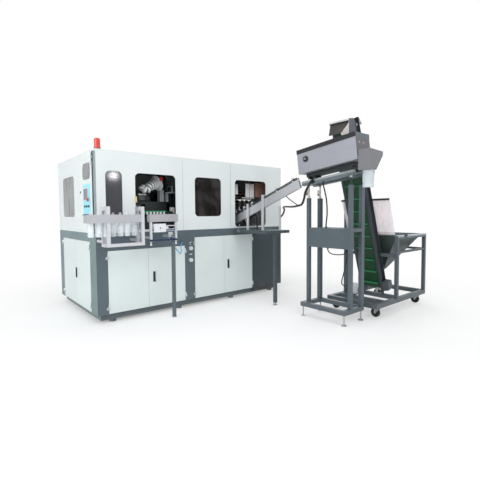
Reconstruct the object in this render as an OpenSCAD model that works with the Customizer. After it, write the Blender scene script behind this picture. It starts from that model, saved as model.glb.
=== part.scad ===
// Blow moulding machine for bottles: a guarded machine on a grey base, its outfeed and infeed,
// and a preform unscrambler with a rolling bucket elevator and hopper. All sizes in millimetres.
// Shapes are drawn from the cabinet's front left corner: X right, Y to the rear, Z up from the floor.

/* [Cabinet] */
// Length of the cabinet along its front
body_l = 3020; // [2960:10:3300]
// Depth of the cabinet from front to rear
body_w = 1560; // [1500:10:1800]
// Height of the roof above the floor
body_h = 2000; // [1950:10:2100]
// Height of the seam between grey base and white guards
base_h = 1045; // [1045:5:1065]
// Height of the underside of the base above the floor
foot_h = 100; // [90:1:102]
// Thickness of the machined bed plate
bed_t = 40; // [30:1:50]
// Side of the base frame's square tubes
post = 60; // [50:1:70]
// Sheet metal thickness of the guards and doors
sheet = 2; // [1.5:0.1:3]
// Depth of the folded edges of guards and doors
fold = 20; // [16:1:24]

/* [Base doors] */
// Left edge of the first door pair
door_a_x = 130; // [120:1:150]
// Width of the first door pair
door_a_w = 1035; // [1000:1:1045]
// Height of the first door pair's top edge
door_a_top = 840; // [780:1:860]
// Left edge of the second door pair
door_b_x = 1320; // [1310:1:1340]
// Width of the second door pair
door_b_w = 1055; // [1000:1:1065]
// Height of the top edge of the second and the end door pair
door_b_top = 943; // [900:1:950]
// Near edge of the end doors, measured from the front
end_door_y = 220; // [200:1:240]
// Distance of the end doors' far edge from the rear
end_door_rear = 172; // [150:1:200]
// Gap around each door
door_gap = 3; // [2:0.5:4]
// Radius of the hinge pins
hinge_pin_r = 4; // [3:0.5:5]
// Length of a hinge
hinge_l = 60; // [50:1:80]

/* [Guards and windows] */
// Seam between the left guard and the sliding mould door
seam_1 = 1147; // [1120:1:1180]
// Seam between the mould door and the right guard
seam_2 = 1955; // [1930:1:1975]
// Top edge of the windows
window_top = 1758; // [1700:1:1800]
// Radius of the window corners
window_r = 55; // [40:1:60]
// Width of the rubber edging around a window
edging = 9; // [6:0.5:12]
// Thickness of the window panes
pane_t = 5; // [4:0.5:8]
// Side of the upper frame's square tubes
rail = 50; // [40:1:60]

/* [Control panel] */
// Near edge of the operator panel, measured from the front
panel_y = 145; // [140:1:150]
// Width of the operator panel
panel_w = 252; // [240:1:260]
// Bottom edge of the operator panel
panel_z = 1188; // [1180:1:1200]
// Height of the operator panel
panel_h = 431; // [420:1:440]
// Radius of the push buttons
button_r = 11; // [9:0.5:12]
// Travel of the push buttons
button_travel = 4; // [3:0.5:5]
// Radius of the emergency stop's mushroom head
stop_r = 20; // [18:0.5:22]

/* [Outfeed] */
// Left end of the bottle rail
rail_x0 = -190; // [-230:5:-150]
// Right end of the bottle rail
rail_x1 = 405; // [395:1:405]
// Front face of the outfeed units, measured from the cabinet's front
outfeed_y = -320; // [-340:1:-310]
// Bottom edge of the outfeed plates
plate_z = 1173; // [1165:1:1180]
// Height of the outfeed plates
plate_h = 88; // [80:1:95]
// Side of the outfeed's square posts
outpost = 36; // [30:1:40]
// Radius of a bottle
bottle_r = 33; // [28:0.5:36]
// Distance between bottles
bottle_pitch = 80; // [76:1:90]
// Number of bottles in the rail
bottle_count = 7; // [4:1:7]

/* [Infeed] */
// Left edge of the infeed table
table_x = 2000; // [1985:1:2030]
// Width of the infeed table
table_w = 450; // [420:1:480]
// Reach of the infeed table in front of the cabinet
table_l = 700; // [660:1:740]
// Thickness of the infeed table
table_t = 40; // [30:1:45]
// Slope of the preform chute in degrees
chute_tilt = 20.3; // [20:0.1:22]
// Height of the chute's side plates
chute_h = 112; // [90:1:125]
// Gap between the chute's side plates, in which the preforms hang by their necks
chute_gap = 24; // [20:1:28]

/* [Mould clamp and oven] */
// Radius of the clamp's tie bars
tie_r = 25; // [20:1:30]
// Number of bottle cavities in the mould
cavities = 4; // [2:1:4]
// Travel of each mould half
mould_travel = 60; // [40:1:80]
// Number of preform spindles on the transfer wheel
spindles = 14; // [8:1:16]
// Number of heating lamps
lamps = 7; // [4:1:8]

/* [Sorter stand] */
// Left side of the stand
stand_x = 2060; // [2050:1:2070]
// Width of the stand
stand_w = 390; // [380:1:400]
// Side of the stand's square tubes
stand_tube = 40; // [34:1:44]
// Slope of the sorter trough in degrees
trough_tilt = 6.65; // [6:0.05:7]
// Length of the trough
trough_l = 800; // [780:5:820]
// Height of the trough's side plates
trough_h = 243; // [230:1:250]
// Width of the trough
trough_w = 260; // [240:1:280]
// Radius of the two sorter rollers
roller_r = 28; // [24:0.5:32]

/* [Elevator and hopper] */
// Left end of the rolling base frame
elev_x0 = 2530; // [2500:5:2560]
// Right end of the rolling base frame
elev_x1 = 3815; // [3790:5:3900]
// Near side of the rolling base frame
elev_y0 = -1965; // [-1985:1:-1955]
// Far side of the rolling base frame
elev_y1 = -1280; // [-1290:1:-1250]
// Lean of the elevator from the vertical in degrees
lean = 19; // [18.5:0.1:19.5]
// Length of the elevator's side channels
conveyor_l = 2270; // [2200:5:2300]
// Width of the cleated belt
belt_w = 230; // [200:1:240]
// Depth of the side channels
channel_d = 100; // [90:1:110]
// Width of the side channels' flanges
channel_w = 40; // [35:1:45]
// Radius of the head and tail pulleys
pulley_r = 45; // [40:1:46]
// Distance between the belt's cleats
cleat_pitch = 165; // [120:1:200]
// Height of the hopper's rim
rim_z = 965; // [940:1:990]
// Side of the hopper frame's square tubes
hop_tube = 40; // [34:1:44]
// Radius of the caster wheels
wheel_r = 55; // [50:1:57]
// Width of a caster wheel's tread
wheel_w = 28; // [24:1:32]
// Distance from a caster's swivel axis to its axle
trail = 26; // [20:1:32]

/* [Fits] */
// Gap left at welded and bolted joints
seat = 0.2; // [0.1:0.05:0.3]
// Radial clearance of shafts and pins
run_fit = 0.05; // [0.03:0.01:0.1]

/* [Hidden] */
$fn = 48;
eps = 0.01;

// Outer limits that fix the origin under the middle of the whole object
drive_box_y = elev_y0 - 165;
origin_x = (rail_x0 + elev_x1) / 2;
origin_y = (drive_box_y + body_w) / 2;

// Base and guard levels
bed_z = base_h - bed_t;
guard_z = base_h + 2;
roof_t = 22;
guard_top = body_h - roof_t - seat;
sill_z = 108;
seam_gap = 3;
door_b_x1 = door_b_x + door_b_w;
column_x0 = door_a_x + door_a_w + door_gap;
column_x1 = door_b_x - door_gap;
end_door_y1 = body_w - end_door_rear;
door_a_seam = door_a_x + 506;
door_b_seam = door_b_x + 506;
end_door_seam = (end_door_y + end_door_y1) / 2;

// Door hinges stand in front of the doors by their barrel radius
barrel_r = hinge_pin_r + 3.5;
barrel_off = barrel_r + 1;
leaf_w = 26;
leaf_t = 2.5;

// Mould door pivots
pivot_r = 4;
pivot_x = seam_2 - seam_gap - 11;
pivot_y = 12;

// Draws its children around the part's origin
module placed() {
    translate([-origin_x, -origin_y, 0]) children();
}

// Box between two opposite corners
module block(lo, hi) {
    translate(lo) cube(hi - lo);
}

// Round bars along each axis, from the point p
module rod_x(p, r, l) {
    translate(p) rotate([0, 90, 0]) cylinder(r = r, h = l);
}
module rod_y(p, r, l) {
    translate(p) rotate([-90, 0, 0]) cylinder(r = r, h = l);
}
module rod_z(p, r, l) {
    translate(p) cylinder(r = r, h = l);
}

// Rectangle with round corners
module round_rect(w, h, r) {
    translate([r, 0]) square([w - 2 * r, h]);
    translate([0, r]) square([w, h - 2 * r]);
    for (x = [r, w - r], y = [r, h - r]) translate([x, y]) circle(r);
}

// Sheets that stand in the XZ or YZ plane, from a flat outline
module wall_xz(y0, y1) {
    translate([0, y1, 0]) rotate([90, 0, 0]) linear_extrude(y1 - y0) children();
}
module wall_yz(x0, x1) {
    translate([x0, 0, 0]) rotate([90, 0, 90]) linear_extrude(x1 - x0) children();
}

// Outline of a rectangle from x0 to x1 and z0 to z1
module outline(x0, x1, z0, z1) {
    translate([x0, z0]) square([x1 - x0, z1 - z0]);
}
module round_outline(x0, x1, z0, z1, r) {
    translate([x0, z0]) round_rect(x1 - x0, z1 - z0, r);
}

// A window is [x0, x1, z0, z1] in its panel's plane
module window_hole(w) {
    round_outline(w[0], w[1], w[2], w[3], window_r);
}

// Flat outline of a panel with its windows cut out
module panel_outline(x0, x1, z0, z1, windows) {
    difference() {
        outline(x0, x1, z0, z1);
        for (w = windows) window_hole(w);
    }
}

// Folded edge around a panel
module fold_outline(x0, x1, z0, z1) {
    difference() {
        outline(x0, x1, z0, z1);
        outline(x0 + sheet, x1 - sheet, z0 + sheet, z1 - sheet);
    }
}

// Rubber edging around a window
module edging_outline(w) {
    difference() {
        round_outline(w[0] - edging, w[1] + edging, w[2] - edging, w[3] + edging,
            window_r + edging);
        window_hole(w);
    }
}

// Guard panel with its face at y0, folded back along all edges
module guard_xz(x0, x1, z0, z1, y0, windows) {
    wall_xz(y0, y0 + sheet) panel_outline(x0, x1, z0, z1, windows);
    wall_xz(y0 + sheet - eps, y0 + fold) fold_outline(x0, x1, z0, z1);
    for (w = windows) wall_xz(y0 - 1.5, y0 + sheet / 2) edging_outline(w);
}
module guard_yz(y0, y1, z0, z1, x0, windows) {
    wall_yz(x0, x0 + sheet) panel_outline(y0, y1, z0, z1, windows);
    wall_yz(x0 + sheet - eps, x0 + fold) fold_outline(y0, y1, z0, z1);
    for (w = windows) wall_yz(x0 - 1.5, x0 + sheet / 2) edging_outline(w);
}

// Windows of the front
win_1 = [125, 322, 1200, window_top + 7];
win_2 = [483, 1036, base_h + 30, window_top];
win_3 = [1334, 1778, 1227, window_top];
win_4 = [2038, 2670, base_h + 20, window_top];
// Windows of the left end, measured from the front
win_tall = [785, 1306, 1235, window_top + 5];
win_small = [130, 412, body_h - 325, body_h - 135];

// Base

// Front posts of the base: [left edge, right edge]
front_posts = [[0, door_a_x - door_gap], [column_x0, column_x1],
    [door_b_x1 + door_gap, door_b_x1 + door_gap + post], [body_l - post, body_l]];

module base_uprights() {
    for (p = front_posts)
        block([p[0], 0, foot_h], [p[1], post, bed_z - seat]);
    for (x = [0, body_l - post])
        block([x, body_w - post, foot_h], [x + post, body_w, bed_z - seat]);
    block([0, post + seat, foot_h], [post, end_door_y - door_gap, bed_z - seat]);
    block([0, end_door_y1 + door_gap, foot_h], [post, body_w - post - seat, bed_z - seat]);
}

module base_rails() {
    block([front_posts[0][1] + seat, 0, door_a_top + door_gap],
        [column_x0 - seat, post, bed_z - seat]);
    block([column_x1 + seat, 0, door_b_top + door_gap],
        [front_posts[2][0] - seat, post, bed_z - seat]);
    for (s = [[front_posts[0][1], column_x0], [column_x1, front_posts[2][0]]])
        block([s[0] + seat, fold + 8, foot_h], [s[1] - seat, post, foot_h + 50]);
    block([0, end_door_y - door_gap + seat, door_b_top + door_gap],
        [post, end_door_y1 + door_gap - seat, bed_z - seat]);
    block([fold + 8, end_door_y - door_gap + seat, foot_h],
        [post, end_door_y1 + door_gap - seat, foot_h + 50]);
}

// Plain covers of the base where there are no doors
module base_covers() {
    block([front_posts[2][1] + seat, 0, foot_h], [front_posts[3][0] - seat, sheet, bed_z - seat]);
    block([body_l - sheet, post + seat, foot_h], [body_l, body_w - post - seat, bed_z - seat]);
    block([post + seat, body_w - sheet, foot_h], [body_l - post - seat, body_w, bed_z - seat]);
}

foot_x = [200, 1100, 2000, body_l - 200];
plinth_in = 50;
pad_t = 16;
module plinth() {
    for (y = [plinth_in, body_w - plinth_in - post])
        block([plinth_in, y, pad_t + 14], [body_l - plinth_in, y + post, foot_h - seat]);
    for (x = [plinth_in, body_l - plinth_in - post])
        block([x, plinth_in + post + seat, pad_t + 14],
            [x + post, body_w - plinth_in - post - seat, foot_h - seat]);
    for (x = foot_x, y = [plinth_in + post / 2, body_w - plinth_in - post / 2])
        rod_z([x, y, 0], 40, pad_t + 14 - seat);
}

// Floor pan with the air receiver on its saddles and the switch cabinet
tank_r = 150;
tank_y = 560;
tank_z = foot_h + sheet + 190;
module base_inside() {
    pan = foot_h + sheet;
    block([post + seat, post + seat, foot_h], [body_l - post - seat, body_w - post - seat, pan]);
    rod_x([260, tank_y, tank_z], tank_r, 760);
    for (x = [340, 880]) difference() {
        block([x, tank_y - 110, pan + seat], [x + 30, tank_y + 110, tank_z - 60]);
        rod_x([x - 1, tank_y, tank_z], tank_r + seat, 32);
    }
    block([1500, 620, pan + seat], [2300, 1000, 860]);
}

module base_frame() {
    color("slategray") placed() {
        base_inside();
        base_uprights();
        base_rails();
        base_covers();
        plinth();
        difference() {
            block([0, 0, bed_z], [body_l, body_w, base_h]);
            rod_z([pivot_x, pivot_y, base_h - 14], pivot_r + run_fit, 15);
        }
    }
}

// Fixed hinge half: a leaf on the frame, a lower barrel and the pin, with the axis along Z.
// side is 1 where the frame lies towards -X of the axis, -1 where it lies towards +X.
module hinge_fixed(side) {
    rod_z([0, 0, -hinge_l / 2], barrel_r, hinge_l / 2);
    rod_z([0, 0, -eps], hinge_pin_r, hinge_l / 2 - 3);
    mirror([side > 0 ? 1 : 0, 0, 0])
        block([0, barrel_off - leaf_t - seat, -hinge_l / 2], [leaf_w, barrel_off - seat, 0]);
    mirror([side > 0 ? 1 : 0, 0, 0])
        block([0, 0, -hinge_l / 2], [barrel_r - 1, barrel_off - seat, 0]);
}

// Moving hinge half: the upper barrel and a leaf that reaches into the door's sheet
module hinge_moving(side) {
    difference() {
        union() {
            rod_z([0, 0, 0.3], barrel_r, hinge_l / 2 - 0.3);
            mirror([side > 0 ? 0 : 1, 0, 0])
                block([0, barrel_off - leaf_t, 0.3], [leaf_w, barrel_off + 0.5, hinge_l / 2]);
            mirror([side > 0 ? 0 : 1, 0, 0])
                block([0, 0, 0.3], [barrel_r - 1, barrel_off, hinge_l / 2]);
        }
        rod_z([0, 0, -1], hinge_pin_r + run_fit, hinge_l);
    }
}

// Heights of the two hinges of a door, from its lower and upper edge
function hinge_z(top) = [sill_z + 76, top - 67];

module front_hinge(x, z) {
    translate([x, -barrel_off, z]) children();
}
module end_hinge(y, z) {
    translate([-barrel_off, y, z]) rotate([0, 0, -90]) children();
}

module door_hinges() {
    color("dimgray") placed() {
        for (z = hinge_z(door_a_top)) {
            front_hinge(door_a_x, z) hinge_fixed(1);
            front_hinge(door_a_x + door_a_w, z) hinge_fixed(-1);
        }
        for (z = hinge_z(door_b_top)) {
            front_hinge(door_b_x, z) hinge_fixed(1);
            front_hinge(door_b_x1, z) hinge_fixed(-1);
            end_hinge(end_door_y, z) hinge_fixed(-1);
            end_hinge(end_door_y1, z) hinge_fixed(1);
        }
        for (z = control_hinge_z) end_hinge(control_y0, z) hinge_fixed(-1);
    }
}

// Door leaf in the front, hinged on its left for side 1 and on its right for side -1
module door_leaf_xz(x0, x1, z1, side) {
    wall_xz(0, sheet) outline(x0, x1, sill_z, z1);
    wall_xz(sheet - eps, fold) fold_outline(x0, x1, sill_z, z1);
    hx = side > 0 ? x0 - 2 : x1 + 2;
    for (z = hinge_z(z1)) front_hinge(hx, z) hinge_moving(side);
}
module door_leaf_yz(y0, y1, z1, side) {
    wall_yz(0, sheet) outline(y0, y1, sill_z, z1);
    wall_yz(sheet - eps, fold) fold_outline(y0, y1, sill_z, z1);
    hy = side > 0 ? y1 + 2 : y0 - 2;
    for (z = hinge_z(z1)) end_hinge(hy, z) hinge_moving(side);
}

// Escutcheon of a lever handle, with ears for the lever's cross pin, on a face at y = 0
handle_w = 30;
handle_h = 128;
handle_z = 480;
ear_t = 4;
lever_w = handle_w - 2 * ear_t - 1;
lever_pin_r = 3;
lever_off = 7;
module escutcheon() {
    block([-handle_w / 2, -3, -handle_h / 2], [handle_w / 2, eps, handle_h / 2]);
    for (x = [-handle_w / 2, handle_w / 2 - ear_t]) difference() {
        block([x, -lever_off - 5, -handle_h / 2], [x + ear_t, -3 + eps, -handle_h / 2 + 14]);
        rod_x([x - 1, -lever_off, -handle_h / 2 + 7], lever_pin_r + run_fit, ear_t + 2);
    }
}
module lever() {
    rod_x([-handle_w / 2 + 0.5, -lever_off, -handle_h / 2 + 7], lever_pin_r, handle_w - 1);
    difference() {
        union() {
            rod_x([-lever_w / 2, -lever_off, -handle_h / 2 + 7], 3.7, lever_w);
            block([-lever_w / 2, -lever_off - 5, -handle_h / 2 + 7],
                [lever_w / 2, -3.5, handle_h / 2 - 8]);
        }
        rod_x([-lever_w, -lever_off - 30, 5], 27, 2 * lever_w);
    }
    rod_y([0, -lever_off - 5.8, handle_h / 2 - 19], 7, 2);
}

module door_a_left() {
    color("aliceblue") placed() {
        door_leaf_xz(door_a_x + 2, door_a_seam - 1.5, door_a_top, 1);
    }
}
module door_a_right() {
    color("aliceblue") placed() {
        door_leaf_xz(door_a_seam + 1.5, door_a_x + door_a_w - 2, door_a_top, -1);
        translate([door_a_seam + 76, 0, handle_z]) escutcheon();
    }
}
module door_b_left() {
    color("aliceblue") placed() {
        door_leaf_xz(door_b_x + 2, door_b_seam - 1.5, door_b_top, 1);
    }
}
module door_b_right() {
    color("aliceblue") placed() {
        door_leaf_xz(door_b_seam + 1.5, door_b_x1 - 2, door_b_top, -1);
        translate([door_b_seam + 76, 0, handle_z + 50]) escutcheon();
    }
}
module end_door_near() {
    color("aliceblue") placed() {
        door_leaf_yz(end_door_y + 2, end_door_seam - 1.5, door_b_top, -1);
        translate([0, end_door_seam - 30, handle_z + 40]) rotate([0, 0, -90]) escutcheon();
    }
}
module end_door_far() {
    color("aliceblue") placed() {
        door_leaf_yz(end_door_seam + 1.5, end_door_y1 - 2, door_b_top, 1);
    }
}
module door_a_handle() {
    color("black") placed() translate([door_a_seam + 76, 0, handle_z]) lever();
}
module door_b_handle() {
    color("black") placed() translate([door_b_seam + 76, 0, handle_z + 50]) lever();
}
module end_door_handle() {
    color("black") placed() translate([0, end_door_seam - 30, handle_z + 40])
        rotate([0, 0, -90]) lever();
}

// Upper frame and guards

post_z1 = guard_top - seat;
// The frame stands behind the guards' folded edges; only its front left corner shows
post_in = fold + seat;
beam_in = fold + 8;
left_post_x = [0, post_in];
right_post_x = body_l - post_in - rail;
post_y = [post_in, body_w - post_in - rail];
module upper_frame() {
    color("dimgray") placed() {
        for (i = [0, 1]) {
            block([left_post_x[i], post_y[i], base_h + seat],
                [left_post_x[i] + rail, post_y[i] + rail, post_z1]);
            block([right_post_x, post_y[i], base_h + seat],
                [right_post_x + rail, post_y[i] + rail, post_z1]);
        }
        block([0, 0, base_h + seat], [fold - seat, post_in - seat, post_z1]);
        // Long beams under the roof; the front one is set back behind the swinging door
        for (b = [[rail, seam_1 - 6, 0, 0], [seam_1 - 6, seam_2 + 6, 0, 8],
                [seam_2 + 6, right_post_x, 0, 0], [post_in + rail, right_post_x, 1, 0]])
            block([b[0] + seat, post_y[b[2]] + b[3], post_z1 - rail],
                [b[1] - seat, post_y[b[2]] + b[3] + rail, post_z1]);
        for (x = [beam_in, seam_1 - rail - 6, seam_2 + 6, right_post_x])
            block([x, post_y[0] + rail + seat, post_z1 - rail],
                [x + rail, post_y[1] - seat, post_z1]);
        for (x = [seam_1 - rail - 6, seam_2 + 6])
            block([x, post_y[0], base_h + seat],
                [x + rail, post_y[0] + rail, post_z1 - rail - seat]);
    }
}

module front_guards() {
    color("whitesmoke") placed() {
        guard_xz(fold, seam_1 - seam_gap, guard_z, guard_top, 0, [win_1, win_2]);
        guard_xz(seam_2 + seam_gap, body_l, guard_z, guard_top, 0, [win_4]);
    }
}

control_y0 = fold + rail + 6;
control_y1 = 545;
control_hinge_z = [1230, body_h - 138, body_h - 70];
module left_end_guard() {
    color("whitesmoke") placed() {
        guard_yz(control_y1 + seam_gap, body_w, guard_z, guard_top, 0, [win_tall]);
        rod_x([-1.5, 1080, guard_z + 38], 11, 2);
    }
}
module rear_guards() {
    color("whitesmoke") placed() {
        for (s = [[fold + seat, seam_1 - 1], [seam_1 + 1, seam_2 - 1],
                [seam_2 + 1, body_l - fold - seat]]) {
            wall_xz(body_w - sheet, body_w) outline(s[0], s[1], guard_z, guard_top);
            wall_xz(body_w - fold, body_w - sheet + eps) fold_outline(s[0], s[1], guard_z, guard_top);
        }
        wall_yz(body_l - sheet, body_l) outline(fold + seat, body_w, guard_z, guard_top);
        wall_yz(body_l - fold, body_l - sheet + eps)
            fold_outline(fold + seat, body_w, guard_z, guard_top);
    }
}

module roof_panel() {
    color("whitesmoke") placed() {
        z0 = body_h - roof_t;
        z1 = body_h - 3 - seat;
        block([0, 0, body_h - 3], [body_l, body_w, body_h]);
        difference() {
            block([0, 0, z0], [body_l, 30, z1]);
            rod_z([pivot_x, pivot_y, z0 - 1], pivot_r + run_fit, 15);
        }
        block([0, body_w - 30, z0], [body_l, body_w, z1]);
        for (x = [0, body_l - 30]) block([x, 30 + seat, z0], [x + 30, body_w - 30 - seat, z1]);
    }
}

// Panes lie behind the sheet and overlap the window all round
pane_lap = 7;
module pane_outline(w) {
    outline(w[0] - pane_lap, w[1] + pane_lap, w[2] - pane_lap, w[3] + pane_lap);
}
module window_panes() {
    color([0.2, 0.24, 0.26, 0.5]) placed() {
        wall_xz(sheet + seat, sheet + seat + pane_t) pane_outline(win_1);
        wall_yz(sheet + seat, sheet + seat + pane_t) pane_outline(win_tall);
    }
}

beacon_x = 68;
beacon_y = 66;
module warning_beacon() {
    color("red") placed() translate([beacon_x, beacon_y, body_h + seat]) rotate_extrude()
        polygon([[0, 0], [30, 0], [30, 15], [39, 15], [39, 31], [35, 35], [35, 113], [31, 123],
            [22, 130], [10, 133], [0, 134]]);
}

gauge_x = 1250;
gauge_z = [642, 800];
knob_z = 868;
module air_gauges() {
    color("silver") placed() {
        for (z = gauge_z) {
            rod_y([gauge_x, -24, z], 27, 24 - seat);
            difference() {
                rod_y([gauge_x, -28, z], 27, 5);
                rod_y([gauge_x, -29, z], 24, 4);
            }
            translate([gauge_x, -25, z]) rotate([0, -40, 0]) block([-1, -0.5, -4], [1, 1.5, 18]);
        }
        block([gauge_x - 15, -16, 712], [gauge_x + 15, -seat, 726]);
        difference() {
            block([gauge_x - 14, -34, knob_z - 18], [gauge_x + 14, -seat, knob_z + 18]);
            rod_y([gauge_x, -35, knob_z], 6 + run_fit, 15);
        }
    }
}
module regulator_knob() {
    color("black") placed() translate([gauge_x, 0, knob_z]) difference() {
        union() {
            rod_y([0, -35, 0], 6, 13.5);
            rod_y([0, -58, 0], 13, 23.5);
        }
        for (a = [0:30:330]) rotate([0, a, 0]) rod_y([14.5, -59, 0], 2.5, 20);
    }
}

mould_door_x0 = seam_1;
mould_door_x1 = seam_2 - seam_gap;
module mould_door() {
    color("whitesmoke") placed() {
        guard_xz(mould_door_x0, mould_door_x1, guard_z, guard_top, 0, [win_3]);
        for (z = [guard_z, guard_top - sheet])
            block([pivot_x - 30, sheet - eps, z], [mould_door_x1 - eps, fold, z + sheet]);
        rod_z([pivot_x, pivot_y, base_h - 12], pivot_r, 16);
        rod_z([pivot_x, pivot_y, guard_top - 4], pivot_r, 16);
        rod_y([1550, -1.5, guard_z + 26], 11, 2);
    }
}
module mould_door_pane() {
    color([0.2, 0.24, 0.26, 0.5]) placed() {
        wall_xz(sheet + seat, sheet + seat + pane_t) pane_outline(win_3);
    }
}

// Operator panel on its hinged door

module control_door() {
    color("whitesmoke") placed() {
        guard_yz(control_y0 + 2, control_y1, guard_z, guard_top, 0, [win_small]);
        for (z = control_hinge_z) end_hinge(control_y0, z) hinge_moving(-1);
        rod_x([-5, 509, 1537], 13, 5.5);
    }
}

module control_door_pane() {
    color([0.2, 0.24, 0.26, 0.5]) placed() {
        wall_yz(sheet + seat, sheet + seat + pane_t) pane_outline(win_small);
    }
}

// Places on the panel, measured from the front and the floor
screen = [196, 362, 1424, 1578];
stop_y = 176;
stop_z = 1436;
button_y = [329, 257, 180];
button_z = 1360;
selector_y = [350, 272, 188];
selector_z = 1258;
panel_t = 4;
collar_h = 8;

module collar(y, z, r) {
    difference() {
        rod_x([-panel_t - collar_h, y, z], r + 4, collar_h + eps);
        rod_x([-panel_t - collar_h - 1, y, z], r + run_fit, collar_h + 1 + eps);
    }
}
module selector_knob() {
    rod_x([-16, 0, 0], 11, 16 + eps);
    translate([-24, 0, 0]) rotate([35, 0, 0]) block([0, -3.5, -11], [9, 3.5, 11]);
}
module operator_panel() {
    color("skyblue") placed() {
        wall_yz(-panel_t - seat, -seat)
            round_outline(panel_y, panel_y + panel_w, panel_z, panel_z + panel_h, 6);
        translate([-panel_t - 8 - seat, 0, 0]) difference() {
            block([0, screen[0], screen[2]], [8 + eps, screen[1], screen[3]]);
            block([-1, screen[0] + 14, screen[2] + 14], [3, screen[1] - 14, screen[3] - 14]);
        }
        translate([-seat, 0, 0]) {
            collar(stop_y, stop_z, 9);
            for (y = button_y) collar(y, button_z, button_r);
            for (y = selector_y) translate([-panel_t, y, selector_z]) selector_knob();
        }
    }
}
// A button's stem runs in its collar; its head stands in front by more than its travel
module push_button(y) {
    depth = panel_t + collar_h + seat;
    rod_x([-depth - button_travel - 2, y, button_z], button_r, collar_h - 0.5 + 2);
}
module emergency_stop() {
    color("red") placed() translate([-panel_t - collar_h - seat, stop_y, stop_z]) {
        rod_x([-button_travel - 6, 0, 0], 9, collar_h + 5);
        rotate([0, -90, 0]) translate([0, 0, button_travel + 1]) rotate_extrude()
            polygon([[0, 0], [14, 0], [stop_r - 1, 2], [stop_r, 5], [stop_r - 1, 9],
                [14, 13], [0, 15]]);
    }
}
module start_button() {
    color("green") placed() push_button(button_y[0]);
}
module stop_button() {
    color("black") placed() push_button(button_y[1]);
}
module reset_button() {
    color("black") placed() push_button(button_y[2]);
}

// Outfeed

frame_z = 912;
frame_top = 1348;
post_ax = [18, 408];
bottle_gap = 2;
rear_dy = outpost + 2 * bottle_r + 2 * bottle_gap;
module outfeed_frame() {
    color("lightgray") placed() {
        for (x = post_ax) {
            block([x, outfeed_y, frame_z], [x + outpost, outfeed_y + outpost, frame_top]);
            block([x - 14, outfeed_y + rear_dy, frame_z],
                [x - 14 + outpost, outfeed_y + rear_dy + outpost, frame_top]);
            block([x - 14, outfeed_y + outpost + seat, frame_z],
                [x + outpost, outfeed_y + rear_dy - seat, frame_z + outpost]);
            block([x - 14, outfeed_y + outpost + seat, frame_top - 46],
                [x + outpost, outfeed_y + rear_dy - seat, frame_top]);
            // Arm from the rear post back to the cabinet's base
            block([x - 10, outfeed_y + rear_dy + outpost + seat, frame_z + 40],
                [x - 10 + outpost - 8, -seat, frame_z + 68]);
        }
        block([post_ax[0] + outpost + seat, outfeed_y, frame_z],
            [post_ax[1] - seat, outfeed_y + outpost, frame_z + 34]);
    }
}

// Bottle rail: front plate, rear plate and the slotted neck track between them
neck_r = 15;
track_z = plate_z + plate_h - 12;
bottle_x0 = -130;
function bottle_x(i) = bottle_x0 + i * bottle_pitch;
bottle_y = outfeed_y + outpost + bottle_gap + bottle_r;
module bottle_rail() {
    color("silver") placed() {
        block([rail_x0, outfeed_y - 8, plate_z], [rail_x1, outfeed_y - seat, plate_z + plate_h]);
        difference() {
            block([rail_x0, outfeed_y + outpost + seat, track_z],
                [rail_x1, outfeed_y + rear_dy - seat, track_z + 12]);
            for (i = [0:bottle_count - 1])
                rod_z([bottle_x(i), bottle_y, track_z - 1], neck_r + 0.8, 20);
        }
        block([rail_x0, outfeed_y - seat - eps, plate_z],
            [rail_x0 + 5, outfeed_y + rear_dy - seat, track_z - seat]);
    }
}

bottle_z = track_z + 14 - 216;
module bottle() {
    rotate_extrude() polygon([[0, -24], [8, -26], [22, -26], [bottle_r - 3, -23],
        [bottle_r, -17], [bottle_r, 14], [bottle_r - 2, 19], [bottle_r - 2, 26], [bottle_r, 31],
        [bottle_r, 50], [bottle_r - 2, 55], [bottle_r - 2, 62], [bottle_r, 67], [bottle_r, 96],
        [bottle_r - 4, 103], [bottle_r - 4, 112], [bottle_r, 119], [bottle_r, 132],
        [bottle_r - 5, 154], [22, 176], [neck_r - 1, 190], [neck_r - 1, 214 + seat],
        [neck_r + 3, 214 + seat], [neck_r + 3, 217], [neck_r - 2, 217], [neck_r - 2, 236],
        [0, 236]]);
}
module bottles() {
    color([0.85, 0.92, 0.95, 0.5]) placed() {
        for (i = [0:bottle_count - 1]) translate([bottle_x(i), bottle_y, bottle_z]) bottle();
    }
}

// Discharge unit right of the rail, on a standing leg
dis_x0 = 500;
dis_x1 = 874;
leg_bx = [512, 838];
leg_z = 940;
arm_z = 976;
guide_r = 7;
guide_z = [1075, 1125];
module discharge_frame() {
    color("silver") placed() {
        difference() {
            block([dis_x0, outfeed_y - 8, plate_z], [dis_x1, outfeed_y + 50, plate_z + plate_h]);
            block([dis_x0 + 6, outfeed_y - 2, plate_z - 1],
                [dis_x1 - 6, outfeed_y + 51, plate_z + plate_h - 6]);
        }
        for (x = leg_bx) {
            block([x, outfeed_y, leg_z], [x + 26, outfeed_y + 26, plate_z + plate_h - 6 - seat]);
            block([x, outfeed_y + 26 + seat, arm_z], [x + 26, -seat, arm_z + 26]);
            rod_z([x + 13, outfeed_y + 13, leg_z - 22], 9, 22 - seat);
            translate([x + 13, outfeed_y + 13, leg_z - 30]) sphere(r = 14);
        }
        // Guide rods of the slide
        for (z = guide_z)
            rod_x([leg_bx[0] + 26 + seat, outfeed_y + 13, z], guide_r,
                leg_bx[1] - leg_bx[0] - 26 - 2 * seat);
        block([leg_bx[0] + 26 + seat, outfeed_y + 4, leg_z + 8],
            [leg_bx[1] - seat, outfeed_y + 22, leg_z + 28]);
        // Standing leg with its foot plate
        block([leg_bx[1] - 24, outfeed_y + 26 + seat, 12],
            [leg_bx[1] + 12, outfeed_y + 62, arm_z - seat]);
        rod_z([leg_bx[1] - 6, outfeed_y + 44, 0], 30, 12 - seat);
    }
}
slide_x = 560;
slide_l = 152;
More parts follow.
